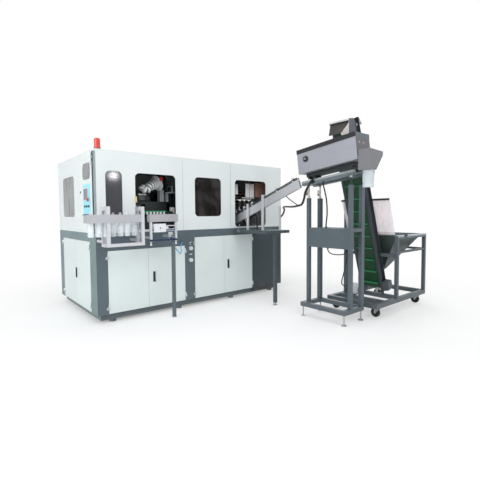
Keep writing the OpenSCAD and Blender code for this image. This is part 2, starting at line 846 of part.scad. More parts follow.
module discharge_slide() {
    color("gainsboro") placed() {
        difference() {
            block([slide_x, outfeed_y - 4, guide_z[0] - 23],
                [slide_x + slide_l, outfeed_y + 40, guide_z[1] + 25]);
            for (z = guide_z)
                rod_x([slide_x - 1, outfeed_y + 13, z], guide_r + run_fit, slide_l + 2);
            rod_y([slide_x + 80, outfeed_y - 5, 1100], 11, 30);
        }
        rod_x([slide_x + slide_l - eps, outfeed_y + 13, 1100], 16, 34);
    }
}

// Infeed table and chute

table_z = base_h - 20;
table_leg_x = table_x + 160;
module infeed_table() {
    color("dimgray") placed() {
        block([table_x, -table_l, table_z - table_t], [table_x + table_w, -seat, table_z]);
        block([table_leg_x, -table_l, 34], [table_leg_x + 40, -table_l + 40, table_z - table_t - seat]);
        rod_z([table_leg_x + 20, -table_l + 20, 0], 28, 12);
        rod_z([table_leg_x + 20, -table_l + 20, 12 - eps], 8, 22);
        // Clamp lever on the table's left edge
        rod_x([table_x - 18, -132, table_z - table_t / 2], 16, 18 - seat);
        translate([table_x - 15, -132, table_z - table_t / 2]) rotate([18, 0, 0])
            block([-4, -5, 0], [4, 5, 105]);
        block([2262, 6 - table_l, table_z + seat], [2284, 28 - table_l, 1358]);
        for (y = chute_posts)
            block([chute_x - guide_out - 24 - seat, y - 14, table_z + seat],
                [chute_x - guide_out - seat, y + 14, post_top(y)]);
    }
}

// The chute runs in the plane x = chute_x, its upper edge through the point [y, z] below
chute_x = table_x + 138;
chute_edge = [-235, 1354];
plate_t = 4;
guide_out = 14;
chute_posts = [-200, -510];
chute_l0 = -530;
chute_l1 = 945;
function chute_edge_z(y) = chute_edge[1] - (y - chute_edge[0]) * tan(chute_tilt);
function post_top(y) = chute_edge_z(y) + 58;
// Clip that bridges the slot above the preforms and carries both neck guides
module chute_clip(y) {
    for (x = [-plate_t - seat - 6, chute_gap + plate_t + seat]) {
        block([x, y - 14, -14], [x + 6, y + 14, 14 - seat]);
        block([x, y - 14, 26 + seat], [x + 6, y + 14, 40]);
    }
    block([-plate_t - seat - 6, y - 14, 40 + seat], [chute_gap + plate_t + seat + 6, y + 14, 46]);
    rod_z([chute_gap / 2, y, 46 + seat], 7, 18);
}
module preform_chute() {
    color("silver") placed() translate([chute_x, chute_edge[0], chute_edge[1]])
        rotate([-chute_tilt, 0, 0]) {
            for (x = [-plate_t, chute_gap])
                block([x, -chute_l1, -chute_h], [x + plate_t, -chute_l0, 0]);
            for (y = [-chute_l1 + 20, -chute_l0 - 60])
                block([seat, y, -chute_h], [chute_gap - seat, y + 20, -chute_h + 12]);
            for (y = [-860, -560, -300, -40, 140]) chute_clip(y);
            for (x = [-guide_out, chute_gap + plate_t + seat])
                block([x, -chute_l1 + 10, 14], [x + guide_out - plate_t - seat, -chute_l0 - 60, 26]);
        }
}

// Mould clamp: two end plates on four tie bars carry two sliding mould halves

clamp_x0 = 1290;
clamp_x1 = 1810;
clamp_z0 = 1130;
clamp_z1 = 1680;
clamp_y0 = 300;
clamp_y1 = 1240;
clamp_plate = 50;
tie_x = [clamp_x0 + 50, clamp_x1 - 50];
tie_z = [clamp_z0 + 50, clamp_z1 - 50];
clamp_mid = (clamp_y0 + clamp_y1) / 2;
carrier_t = 40;
mould_t = 90;
cavity_pitch = 88;
mould_w = cavities * cavity_pitch + 20;
mould_open = mould_travel + seat;
mould_z = (clamp_z0 + clamp_z1) / 2;
mould_h = 300;

module clamp_frame() {
    color("darkslategray") placed() {
        for (y = [clamp_y0, clamp_y1 - clamp_plate])
            block([clamp_x0, y, clamp_z0], [clamp_x1, y + clamp_plate, clamp_z1]);
        for (x = tie_x, z = tie_z)
            rod_y([x, clamp_y0 + clamp_plate + seat, z], tie_r,
                clamp_y1 - clamp_y0 - 2 * clamp_plate - 2 * seat);
        for (y = [clamp_y0, clamp_y1 - clamp_plate])
            block([clamp_x0, y, base_h + seat], [clamp_x1, y + clamp_plate, clamp_z0 - seat]);
        // Transfer drive box behind the open window
        block([760, 320, base_h + seat], [1080, 640, drive_top]);
        block([700 + seat, 300, 1395], [760 - seat, 640, drive_top]);
        block([560, 300, base_h + seat], [700, 420, drive_top + 10]);
        block([560 + 10, 262, 1330], [690, 300 - seat, 1350]);
        block([560 + 10, 262, 1260], [690, 300 - seat, 1280]);
        // Neck gripper bar with its jaws
        block([560, 190, 1200], [1000, 250 - seat, 1216]);
        for (i = [0:7]) block([580 + i * 52, 160, 1184], [580 + i * 52 + 26, 190 - seat, 1212]);
        block([1000 + seat, 150, base_h + seat], [1075, 250, 1300]);
        block([620, 200, base_h + seat], [900, 240, 1200 - seat]);
    }
}

bottle_cut = [[0, -118], [30, -118], [32, -112], [32, 30], [26, 56], [14, 76], [14, 130], [0, 130]];
// Mould half with its cavities; dir is 1 for the half nearest the front
module mould_half(dir) {
    face = clamp_mid - dir * mould_open;
    back = face - dir * mould_t;
    rear = back - dir * carrier_t;
    lo = min(face, back);
    difference() {
        block([(clamp_x0 + clamp_x1 - mould_w) / 2, lo, mould_z - mould_h / 2],
            [(clamp_x0 + clamp_x1 + mould_w) / 2, lo + mould_t, mould_z + mould_h / 2]);
        for (i = [0:cavities - 1])
            translate([(clamp_x0 + clamp_x1) / 2 + (i - (cavities - 1) / 2) * cavity_pitch,
                face, mould_z + 20]) rotate_extrude() polygon(bottle_cut);
    }
    lo2 = min(back, rear);
    difference() {
        block([clamp_x0, lo2, clamp_z0], [clamp_x1, lo2 + carrier_t, clamp_z1]);
        for (x = tie_x, z = tie_z) rod_y([x, lo2 - 1, z], tie_r + run_fit, carrier_t + 2);
    }
}
module mould_near() {
    color("silver") placed() mould_half(1);
}
module mould_far() {
    color("silver") placed() mould_half(-1);
}

// Heating oven: reflector walls with a bank of lamps between them
oven_x0 = 2480;
oven_x1 = 2920;
oven_z0 = 1250;
lamp_pitch = 55;
module oven() {
    color("sienna") placed() {
        oven_z1 = oven_z0 + lamps * lamp_pitch;
        block([oven_x0, 800, oven_z0], [oven_x1, 812, oven_z1]);
        block([oven_x0, 640, oven_z1 + seat], [oven_x1, 812, oven_z1 + 14]);
        for (x = [oven_x0, oven_x1 - 12])
            block([x, 640, base_h + seat], [x + 12, 800 - seat, oven_z1]);
        for (i = [0:lamps - 1])
            rod_x([oven_x0 + 12 + seat, 760, oven_z0 + (i + 0.5) * lamp_pitch], 7,
                oven_x1 - oven_x0 - 24 - 2 * seat);
    }
}

wheel_x = 2330;
wheel_y = 330;
wheel_z = 1190;
wheel_axle_r = 20;
spindle_ring = 160;
// Toothed transfer wheel with preforms on its spindles, turning on a column
module spindle_wheel() {
    color("silver") placed() translate([wheel_x, wheel_y, wheel_z]) {
        difference() {
            union() {
                rod_z([0, 0, 0], spindle_ring + 26, 24);
                rod_z([0, 0, 24 - eps], 60, 40);
            }
            rod_z([0, 0, -1], wheel_axle_r + run_fit, 100);
            for (i = [0:2 * spindles - 1]) rotate([0, 0, (i + 0.5) * 180 / spindles])
                rod_z([spindle_ring + 30, 0, -1], 12, 40);
        }
        for (i = [0:spindles - 1]) rotate([0, 0, i * 360 / spindles])
            translate([spindle_ring, 0, 24 - eps]) rotate_extrude() polygon([[0, 0], [13, 0],
                [13, 30], [15, 30], [15, 34], [12, 34], [12, 95], [9, 104], [4, 109], [0, 110]]);
    }
}

// Blower with its hose, and the transfer wheel's fixed column
blower_p = [945, 321, 1681];
drive_top = 1430;
module blower() {
    color("lightgray") placed() {
        translate(blower_p) rotate([0, 68, 12]) {
            rod_z([0, 0, 0], 98, 92);
            rod_z([0, 0, -14], 104, 14 + eps);
            rod_z([0, 0, 92 - eps], 40, 40);
        }
        // Corrugated hose
        translate(blower_p) rotate([0, -112, 12])
            for (i = [0:8]) rod_z([0, 0, 12 + i * 34], i % 2 == 0 ? 66 : 58, 34 + eps);
        // Bracket on the drive box
        block([970, 300, drive_top + seat], [1030, 380, 1640]);
        block([wheel_x - 130, wheel_y - 130, base_h + seat],
            [wheel_x + 130, wheel_y + 130, wheel_z - 20]);
        rod_z([wheel_x, wheel_y, wheel_z - 20 - eps], wheel_axle_r, 130);
        rod_z([wheel_x, wheel_y, wheel_z - 20 - eps], 40, 20 - seat);
        // Preform pick-up block with its two knobs
        block([2056, 200, 1260], [2130, 420, 1400]);
        for (x = [2076, 2110]) rod_z([x, 225, 1400 - eps], 12, 22);
        block([2056, 300, base_h + seat], [2130, 420, 1260 + eps]);
    }
}

// Sorter stand

stand_x1 = stand_x + stand_w;
post_x = [[stand_x + 115, stand_x + 158], [stand_x1 - 60, stand_x1 - 2]];
stand_y = [-1848, -1265];
stand_far = stand_y[1] + stand_tube;
beam_z = 120;
beam_h = 50;
post_top_z = [1567, 1444];
cradle_h = 55;
trough_y = -1205;
trough_z = 1731;
cradle_z = trough_z - 129;
// Height of a sloping line of the sorter at the place y
function slope_z(z, y) = z + (trough_y - y) * tan(trough_tilt);

module sorter_frame() {
    translate([stand_x, trough_y, trough_z]) rotate([-trough_tilt, 0, 0]) children();
}

module stand_frame() {
    color("dimgray") placed() {
        for (p = post_x, i = [0, 1])
            block([p[0], stand_y[i], beam_z + beam_h + seat],
                [p[1], stand_y[i] + stand_tube, post_top_z[i]]);
        for (x = [stand_x, stand_x1 - beam_h])
            block([x, stand_y[0], beam_z], [x + beam_h, stand_far, beam_z + beam_h]);
        for (y = [stand_y[0], stand_far - beam_h])
            block([stand_x + beam_h + seat, y, beam_z],
                [stand_x1 - beam_h - seat, y + beam_h, beam_z + beam_h]);
        // Levelling feet
        for (x = [stand_x + 25, stand_x1 - 25], y = [stand_y[0] + 25, stand_far - 25]) {
            rod_z([x, y, 0], 30, 12);
            rod_z([x, y, 12 - eps], 8, beam_z - 12 - seat);
            rod_z([x, y, beam_z - 14], 13, 14 - seat);
        }
        // Rails between the posts, in line with the switch box
        for (y = stand_y)
            block([post_x[0][1] + seat, y, 1040], [post_x[1][0] - seat, y + stand_tube, 1080]);
        block([post_x[1][0], stand_y[0] + stand_tube + seat, 1040],
            [post_x[1][0] + stand_tube, stand_y[1] - seat, 1080]);
        // Switch box
        block([post_x[0][0], stand_y[0] + stand_tube + seat, 845],
            [post_x[0][0] + 120, stand_y[1] - seat, 1080]);
        // Jacking rods and nuts on the posts
        for (p = post_x, i = [0, 1]) {
            x = (p[0] + p[1]) / 2;
            y = stand_y[i] + stand_tube / 2;
            rod_z([x, y, post_top_z[i] + seat], 9,
                slope_z(cradle_z, y) - post_top_z[i] - 2.5);
            rod_z([x, y, post_top_z[i] + 2 * seat + 8], 16, 14);
            rod_z([x, y, slope_z(cradle_z, y) - 21], 16, 14);
        }
        sorter_frame() {
            z = cradle_z - trough_z;
            for (p = post_x)
                block([p[0] - stand_x, -656, z], [p[1] - stand_x, 67, z + cradle_h]);
            for (y = [-560, -30])
                block([post_x[0][1] - stand_x + seat, y, z + 4],
                    [post_x[1][0] - stand_x - seat, y + 60, z + cradle_h]);
            // Long carrier under the trough, on a deep near end and two short legs
            carrier_z = -wall - seat - 45;
            block([60, -700, carrier_z], [190, -60, -wall - seat]);
            for (y = [[-680, -515], [-180, -150], [-105, -78]])
                block([60, y[0], z + cradle_h + seat], [190, y[1], carrier_z - seat]);
        }
    }
}

wall = 3;
end_t = 8;
trough_x = -10;
slot_x = chute_x + chute_gap / 2 - stand_x;
roller_x = [slot_x - chute_gap / 2 - roller_r, slot_x + chute_gap / 2 + roller_r];
roller_z = trough_h - 62;
shaft_r = 10;
flange_h = 44;
drive_y1 = trough_y - trough_l * cos(trough_tilt) - wall * sin(trough_tilt) - seat;
module sorter_trough() {
    color("lightslategray") placed() {
        sorter_frame() {
            x1 = trough_x + trough_w;
            for (x = [trough_x, x1 - wall])
                block([x, -trough_l + eps, 0], [x + wall, -eps, trough_h]);
            block([trough_x, -trough_l + eps, -wall], [x1, -eps, eps]);
            // Outer top flanges
            for (x = [trough_x - 6, x1 - wall + 1])
                block([x, -trough_l, trough_h - 4], [x + 8, 0, trough_h + flange_h]);
            // Sloping plates that lead preforms onto the rollers
            for (w = [[trough_x + wall - eps, roller_x[0] - roller_r - 2],
                    [x1 - wall + eps, roller_x[1] + roller_r + 2]])
                wall_xz(-trough_l + eps, -eps) polygon([[w[0], trough_h - 10], [w[1], roller_z + 6],
                    [w[1], roller_z + 3], [w[0], roller_z - 6]]);
            for (y = [-trough_l, -end_t]) difference() {
                block([trough_x, y, -wall], [x1, y + end_t, trough_h + flange_h - 2]);
                for (x = roller_x) rod_y([x, y - 1, roller_z], shaft_r + run_fit, end_t + 2);
                if (y > -trough_l)
                    block([roller_x[0], y - 1, roller_z + shaft_r + 8],
                        [roller_x[1], y + end_t + 1, trough_h + flange_h]);
            }
            translate([trough_x + eps, -125, 158]) rotate([0, -90, 0]) cylinder(r = 36, h = 10);
        }
        // Drive box at the near end
        wall_xz(drive_box_y, drive_y1) polygon([[2052, 1700], [2180, 1700], [2312, 1862],
            [2312, 1902], [2052, 1914]]);
    }
}
module sorter_roller(i) {
    sorter_frame() {
        rod_y([roller_x[i], -trough_l + end_t + 6, roller_z], roller_r, trough_l - 2 * end_t - 12);
        rod_y([roller_x[i], -trough_l + 1, roller_z], shaft_r, trough_l - 2);
    }
}
module sorter_roller_left() {
    color("gainsboro") placed() sorter_roller(0);
}
module sorter_roller_right() {
    color("gainsboro") placed() sorter_roller(1);
}

motor_p = [2140, drive_box_y + 65, 1700];
module sorter_motor() {
    color("lightgray") placed() translate(motor_p) mirror([0, 0, 1]) {
        rod_z([0, 0, seat], 60, 10);
        rod_z([0, 0, 10], 50, 160);
        for (a = [0:30:330]) rotate([0, 0, a]) block([40, -2, 26], [57, 2, 128]);
        rod_z([0, 0, 140], 56, 36);
        rod_x([45, 0, 58], 8, 28);
    }
}

// Elevator

base_z = [135, 190];
base_b = 50;
conv_y = -1590;
conv_x = 3150;
foot_drop = channel_d / 2 * sin(lean);
conv_z = base_z[1] + foot_drop + seat;
belt_t = 4;
belt_y0 = conv_y - belt_w / 2;
belt_y1 = conv_y + belt_w / 2;
near_web = belt_y0 - 5;
far_web = belt_y1 + 5;
web_t = 5;
tail_z = 115;
head_z = conveyor_l - 78;
axle_r = 12;
cross_x = [2755, 3125];
hop_x0 = 3010;
caster_x = [2690, 3745];
caster_y = [elev_y0 + 78, elev_y1 - 28];
head_r = 11;
plate_z0 = base_z[0] - 4;

module conveyor() {
    translate([conv_x, 0, conv_z]) rotate([0, -lean, 0]) children();
}

// Side channel with its flanges turned outward; dir is -1 on the near side
module side_channel(web, dir) {
    h = channel_d / 2;
    outer = web + dir * channel_w;
    lo = min(web, outer);
    hi = max(web, outer);
    difference() {
        union() {
            difference() {
                block([-h, lo, 0], [h, hi, conveyor_l]);
                block([-h + web_t, dir < 0 ? lo - 1 : lo + web_t, -1],
                    [h - web_t, dir < 0 ? hi - web_t : hi + 1, conveyor_l + 1]);
            }
            // Flanged bearings of both pulleys
            for (z = [tail_z, head_z])
                rod_y([0, dir < 0 ? hi - web_t - 16 : lo + web_t - eps, z], 30, 16 + eps);
        }
        for (z = [tail_z, head_z]) rod_y([0, lo - 1, z], axle_r + run_fit, channel_w + 2);
    }
}

module hopper_frame() {
    for (x = [hop_x0, elev_x1 - hop_tube], y = [elev_y0, elev_y1 - hop_tube])
        block([x, y, base_z[1] + seat], [x + hop_tube, y + hop_tube, rim_z]);
    for (y = [elev_y0, elev_y1 - hop_tube]) {
        block([hop_x0 + hop_tube + seat, y, rim_z - hop_tube],
            [elev_x1 - hop_tube - seat, y + hop_tube, rim_z]);
        block([hop_x0 + hop_tube + seat, y + 6, 745], [elev_x1 - hop_tube - seat, y + 34, 773]);
    }
    block([elev_x1 - hop_tube, elev_y0 + hop_tube + seat, rim_z - hop_tube],
        [elev_x1, elev_y1 - hop_tube - seat, rim_z]);
    block([elev_x1 - 34, elev_y0 + hop_tube + seat, 745],
        [elev_x1 - 6, elev_y1 - hop_tube - seat, 773]);
    // Ties from the hopper posts to the side channels
    block([hop_x0 - 30, elev_y0 + hop_tube + seat, 700],
        [hop_x0 + hop_tube, near_web - channel_w - seat, 740]);
    block([hop_x0 - 30, far_web + channel_w + seat, 700],
        [hop_x0 + hop_tube, elev_y1 - hop_tube - seat, 740]);
}

module base_beams() {
    for (y = [elev_y0, elev_y1 - base_b])
        block([elev_x0, y, base_z[0]], [elev_x1, y + base_b, base_z[1]]);
    for (x = concat([elev_x0], cross_x, [elev_x1 - base_b]))
        block([x, elev_y0 + base_b + seat, base_z[0]],
            [x + base_b, elev_y1 - base_b - seat, base_z[1]]);
}

// Post and strut that hold the upper part of the conveyor on its far side
strut_z = 1700;
strut_x = 2900;
strut_b = 40;
module conveyor_support() {
    at = conv_x - (strut_z - conv_z) * tan(lean);
    y0 = elev_y1 - strut_b;
    block([strut_x, y0, base_z[1] + seat], [strut_x + strut_b, elev_y1, strut_z + strut_b]);
    block([at - 30, y0, strut_z], [strut_x - seat, elev_y1, strut_z + strut_b]);
    block([at - 30, far_web + channel_w + seat, strut_z],
        [at - 30 + strut_b, y0 - seat, strut_z + strut_b]);
}

// Fixed fork of the far casters, top plate included
module rigid_caster(x, y) {
    translate([x, y, 0]) {
        block([-40, -45, plate_z0], [40, 45, base_z[0] - seat]);
        fork(0);
    }
}
// Two legs, a bridge and an axle; off moves the axle back from the middle of the bridge
leg_gap = wheel_w / 2 + 2;
module fork(off) {
    block([-leg_gap - 4, -32, 2 * wheel_r + 6], [leg_gap + 4, 32, plate_z0 + (off > 0 ? -9 : eps)]);
    for (x = [-leg_gap - 4, leg_gap])
        translate([x, 0, 0]) wall_yz(0, 4) {
            polygon([[-32, 2 * wheel_r + 6 + eps], [off - 12, wheel_r - 6], [off + 12, wheel_r - 6],
                [32, 2 * wheel_r + 6 + eps]]);
            translate([off, wheel_r]) circle(13);
        }
    rod_x([-leg_gap - 6, off, wheel_r], 6, 2 * leg_gap + 12);
}
module swivel_plate(x, y) {
    translate([x, y, 0]) difference() {
        block([-40, -45, plate_z0], [40, 45, base_z[0] - seat]);
        rod_z([0, 0, plate_z0 - 1], head_r + run_fit, 20);
    }
}
module swivel_fork(x) {
    translate([x, caster_y[0], 0]) {
        fork(trail);
        rod_z([0, 0, plate_z0 - 10], 30, 9.7);
        rod_z([0, 0, plate_z0 - 2], head_r, 5);
    }
}
// Grooved tyre on a hub, bored for the axle
module wheel() {
    rotate([0, 90, 0]) rotate_extrude() {
        w = wheel_w / 2;
        polygon([[6 + run_fit, -w - 1], [14, -w - 1], [14, -w + 7], [32, -w + 5], [34, -w],
            [wheel_r - 4, -w], [wheel_r, -w + 4], [wheel_r, w - 4], [wheel_r - 4, w], [34, w],
            [32, w - 5], [14, w - 7], [14, w + 1], [6 + run_fit, w + 1]]);
    }
}

module elevator_frame() {
    color("dimgray") placed() {
        base_beams();
        hopper_frame();
        conveyor_support();
        conveyor() {
            side_channel(near_web, -1);
            side_channel(far_web, 1);
            // Cross ties between the channels, inside the belt's loop
            for (z = [600, 1250, 1900])
                rod_y([0, near_web + seat, z], 10, far_web - near_web - 2 * seat);
            // Clamp bars along the top edges of the wing sheets
            for (s = [[elev_y0, hood_near], [hood_far, elev_y1 - strut_b - seat]])
                block([channel_d / 2 - 20, s[0], wing_z[1] - 20], [channel_d / 2, s[1], wing_z[1]]);
        }
        for (x = caster_x) {
            rigid_caster(x, caster_y[1]);
            swivel_plate(x, caster_y[0]);
        }
        head_hood();
        // Geared motor of the tail shaft
        translate([2855, -1465, base_z[1] + seat]) {
            block([-70, -60, 0], [70, 60, 12]);
            rod_z([0, 0, 12 - eps], 48, 130);
        }
        // Gearbox on the near channel's foot
        conveyor() block([-channel_d / 2, near_web - channel_w - seat - 75, tail_z - 45],
            [channel_d / 2, near_web - channel_w - seat, tail_z + 60]);
    }
}

hood_near = near_web - channel_w - seat;
hood_far = far_web + channel_w + seat;
// Discharge at the head: an apron that narrows downward, its bar and the near cheek
module head_hood() {
    hull() {
        block([2318, hood_near + seat, 2300], [2321, -1464, 2303]);
        block([2156, hood_near + seat, 2141], [2159, -1560, 2144]);
    }
    block([2312, hood_near + seat, 2303 + seat], [2327, -1455, 2315]);
    for (y = [hood_near + seat, hood_far - seat - channel_w])
        block([2327 + seat, y, 2303 + seat], [2370.8, y + 15, 2315]);
    wall_xz(hood_near - sheet, hood_near) polygon([[2107, 2127], [2259, 2269], [2264, 2320],
        [2365, 2338], [2448, 2100], [2150, 2100]]);
}

module stadium(r) {
    for (z = [tail_z, head_z]) translate([0, z]) circle(r);
    translate([-r, tail_z]) square([2 * r, head_z - tail_z]);
}
module elevator_belt() {
    color("darkgreen") placed() conveyor() {
        difference() {
            wall_xz(belt_y0, belt_y1) stadium(pulley_r + seat + belt_t);
            wall_xz(belt_y0 - 1, belt_y1 + 1) stadium(pulley_r + seat);
        }
        r = pulley_r + seat + belt_t - eps;
        for (z = [tail_z + 40:cleat_pitch:head_z], s = [-1, 1])
            block([s > 0 ? r : -r - 26, belt_y0 + 8, z], [s > 0 ? r + 26 : -r, belt_y1 - 8, z + 6]);
    }
}
module pulley(z) {
    conveyor() {
        rod_y([0, belt_y0 + 2, z], pulley_r, belt_w - 4);
        rod_y([0, near_web - channel_w + 6, z], axle_r, far_web - near_web + 2 * channel_w - 12);
    }
}
module head_pulley() {
    color("silver") placed() pulley(head_z);
}
module tail_pulley() {
    color("silver") placed() pulley(tail_z);
}

// Hopper bin: a lopsided funnel that feeds the foot of the belt
bin_t = 3;
bin_x0 = hop_x0 + hop_tube + seat;
bin_x1 = elev_x1 - hop_tube - seat;
bin_y0 = elev_y0 + hop_tube + seat;
bin_y1 = elev_y1 - hop_tube - seat;
mouth = [3152, 3200, near_web - 2, far_web + 2, 510];
// Plate between its level edge at the rim and its level edge at the mouth
module bin_plate(rim, low) {
    hull() {
        translate([rim[0], rim[1], rim_z - 1]) cube([rim[2], rim[3], 1]);
        translate([low[0], low[1], mouth[4]]) cube([low[2], low[3], 1]);
    }
}
module hopper_bin() {
    color([0.2, 0.26, 0.25]) placed() {
        in = bin_t + 3.5 * seat;
        bin_l = bin_x1 - bin_x0;
        mouth_l = mouth[1] - mouth[0];
        rim_w = bin_y1 - bin_y0 - 2 * in;
        mouth_w = mouth[3] - mouth[2] - 2 * in;
        for (y = [[bin_y0, mouth[2]], [bin_y1 - bin_t, mouth[3] - bin_t]])
            bin_plate([bin_x0, y[0], bin_l, bin_t], [mouth[0], y[1], mouth_l, bin_t]);
        bin_plate([bin_x1 - bin_t, bin_y0 + in, bin_t, rim_w],
            [mouth[1] - bin_t, mouth[2] + in, bin_t, mouth_w]);
        block([mouth[0] + in, mouth[2] + in, mouth[4]],
            [mouth[1] - in, mouth[3] - in, mouth[4] + bin_t]);
        // The left plate is open where the belt scoops preforms out
        z = [mouth[4], mouth[4] + 12, mouth[4] + 200, rim_z];
        for (b = [[bin_y0, bin_y1, z[2], z[3]], [bin_y0, bin_y1, z[0], z[1]],
                [bin_y0, belt_y0, z[1] + seat, z[2] - seat],
                [belt_y1, bin_y1, z[1] + seat, z[2] - seat]])
            intersection() {
                bin_plate([bin_x0, bin_y0 + in, bin_t, rim_w],
                    [mouth[0], mouth[2] + in, bin_t, mouth_w]);
                block([bin_x0, b[0], b[2]], [mouth[1], b[1], b[3]]);
            }
    }
}

// Clear side strips of the elevator, wings over the hopper and the head cover
wing_z = [806, 1275];
module guard_sheets() {
    color([0.93, 0.9, 0.92, 0.6]) placed() {
        conveyor() {
            for (y = [near_web + seat, far_web - seat - 3])
                block([axle_r + 2, y, 800], [112, y + 3, conveyor_l - 10]);
            for (s = [[elev_y0, near_web - channel_w + 30],
                    [far_web + channel_w - 30, elev_y1 - strut_b - seat]])
                block([channel_d / 2 + seat, s[0], wing_z[0]],
                    [channel_d / 2 + seat + 4, s[1], wing_z[1]]);
        }
        // Cover over the head pulley, with a lip along its front
        wall_xz(hood_near + seat, hood_far - seat) polygon([[2347, 2315.4], [2347, 2345],
            [2350, 2345], [2350, 2335.5], [2459.3, 2373.1], [2537, 2298], [2534.5, 2295.6],
            [2458.8, 2369.6], [2350, 2332.1], [2350, 2315.4]]);
    }
}

module caster_fork_left() {
    color("silver") placed() swivel_fork(caster_x[0]);
}
module caster_fork_right() {
    color("silver") placed() swivel_fork(caster_x[1]);
}
module caster_wheel(x, y) {
    translate([x, y, wheel_r]) wheel();
}
module caster_wheel_near_left() {
    color("black") placed() caster_wheel(caster_x[0], caster_y[0] + trail);
}
module caster_wheel_near_right() {
    color("black") placed() caster_wheel(caster_x[1], caster_y[0] + trail);
}
module caster_wheel_far_left() {
    color("black") placed() caster_wheel(caster_x[0], caster_y[1]);
}
module caster_wheel_far_right() {
    color("black") placed() caster_wheel(caster_x[1], caster_y[1]);
}

// Cables: tubes swept along hand-set points

function unit(v) = v / norm(v);
// Smooth curve through the points p, with n steps on each span
function curve_point(p, i, t) =
    let (a = p[max(i - 1, 0)], b = p[i], c = p[i + 1], d = p[min(i + 2, len(p) - 1)])
    0.5 * (2 * b + (c - a) * t + (2 * a - 5 * b + 4 * c - d) * t * t
        + (3 * b - a - 3 * c + d) * t * t * t);
function curve(p, n) = [for (i = [0:len(p) - 2], k = [0:n - 1]) curve_point(p, i, k / n),
    p[len(p) - 1]];
function tangent(c, i) = unit(c[min(i + 1, len(c) - 1)] - c[max(i - 1, 0)]);
// Frames carried along the curve without twist
function carry(side, t) = unit(side - (side * t) * t);
function sides(c, i, s) = i >= len(c) ? [] :
    let (n = carry(s, tangent(c, i))) concat([n], sides(c, i + 1, n));
module tube(points, r, n, facets) {
    c = curve(points, n);
    first = tangent(c, 0);
    s = sides(c, 0, abs(first[2]) > 0.8 ? [1, 0, 0] : [0, 0, 1]);
    rings = [for (i = [0:len(c) - 1], k = [0:facets - 1])
        let (b = cross(tangent(c, i), s[i]), a = k * 360 / facets)
        c[i] + r * (cos(a) * s[i] + sin(a) * b)];
    last = (len(c) - 1) * facets;
    faces = concat([[for (k = [0:facets - 1]) k]],
        [for (i = [0:len(c) - 2], k = [0:facets - 1])
            let (q = (k + 1) % facets) [i * facets + k, (i + 1) * facets + k,
                (i + 1) * facets + q, i * facets + q]],
        [[for (k = [facets - 1:-1:0]) last + k]]);
    polyhedron(rings, faces, convexity = 6);
}

main_cable = [[3020.4, 60, 1180], [3036, 60, 1180], [3055, 60, 1182], [3088, 20, 1235],
    [3075, -30, 1315], [2990, -90, 1358], [2840, -290, 1362], [2600, -610, 1352],
    [2400, -890, 1358], [2290, -1055, 1376], [2200, -1165, 1440], [2130, -1240, 1508],
    [2112, -1302, 1585], [2136, -1320, 1636], [2158, -1320, 1641], [2174.6, -1320, 1641]];
sensor_cable = [[2166.4, -845, 1500], [2178, -845, 1500], [2192, -845, 1499], [2270, -885, 1430],
    [2376, -922, 1360]];
motor_cable = [[2213.4, -2065, 1642], [2222, -2065, 1642], [2233, -2065, 1644],
    [2250, -2065, 1672], [2250, -2065, 1715], [2240, -2065, 1746], [2240, -2065, 1756],
    [2240, -2065, 1765.4]];
drop_cable = [[2198, -1455, 1629.4], [2198, -1455, 1614], [2197, -1457, 1590],
    [2192, -1504, 1425], [2192, -1516, 1260], [2197, -1500, 1140], [2198, -1498, 1110],
    [2198, -1498, 1096], [2198, -1498, 1080.4]];
low_loop = [[2198, -1524, 844.6], [2198, -1524, 832], [2197, -1530, 812], [2195, -1570, 782],
    [2194, -1650, 775], [2196, -1730, 785], [2198, -1766, 812], [2198, -1770, 832],
    [2198, -1770, 844.6]];
post_loop = [[2210, -1785, 844.6], [2210, -1785, 830], [2209, -1783, 800], [2205, -1745, 600],
    [2200, -1716, 480], [2198, -1722, 440], [2196, -1760, 428], [2196, -1785, 440],
    [2196, -1798, 441], [2196, -1807.6, 441]];
table_cable = [[2430, -60, 1025.4], [2430, -60, 1042], [2430, -60, 1062], [2424, -60, 1180],
    [2430, -30, 1245], [2438, 30, 1240], [2432, 100, 1180], [2425, 148, 1132],
    [2424, 168, 1128], [2424, 184, 1128], [2424, 199.6, 1128]];
hose = [[790, -307, 968.6], [790, -307, 978], [791, -303, 987], [796, -270, 996],
    [808, -236, 965], [850, -228, 900], [905, -215, 830], [960, -200, 775], [990, -180, 762],
    [1020, -150, 790], [1050, -90, 850], [1090, -46, 884], [1108, -26, 884], [1110, -12, 884],
    [1110, -0.4, 884]];
module cables() {
    color("black") placed() {
        tube(main_cable, 14, 5, 10);
        tube(sensor_cable, 6, 4, 8);
        tube(drop_cable, 8, 3, 8);
        tube(low_loop, 6, 4, 8);
        tube(post_loop, 6, 3, 8);
        tube(table_cable, 12, 3, 8);
        tube(motor_cable, 6, 3, 8);
        tube(hose, 6, 4, 8);
    }
}

base_frame();
door_hinges();
upper_frame();
front_guards();
left_end_guard();
rear_guards();
roof_panel();
window_panes();
warning_beacon();
air_gauges();
regulator_knob();
door_a_left();
door_a_right();
door_b_left();
door_b_right();
end_door_near();
end_door_far();
door_a_handle();
door_b_handle();
end_door_handle();
mould_door();
mould_door_pane();
control_door();
control_door_pane();
operator_panel();
emergency_stop();
start_button();
stop_button();
reset_button();
outfeed_frame();
bottle_rail();
bottles();
discharge_frame();
discharge_slide();
infeed_table();
preform_chute();
clamp_frame();
mould_near();
mould_far();
oven();
spindle_wheel();
blower();
stand_frame();
sorter_trough();
sorter_roller_left();
sorter_roller_right();
sorter_motor();
elevator_frame();
elevator_belt();
head_pulley();
tail_pulley();
hopper_bin();
guard_sheets();
caster_fork_left();
caster_fork_right();
caster_wheel_near_left();
caster_wheel_near_right();
caster_wheel_far_left();
caster_wheel_far_right();
cables();
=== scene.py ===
import math

import bmesh
import bpy
from mathutils import Matrix, Vector


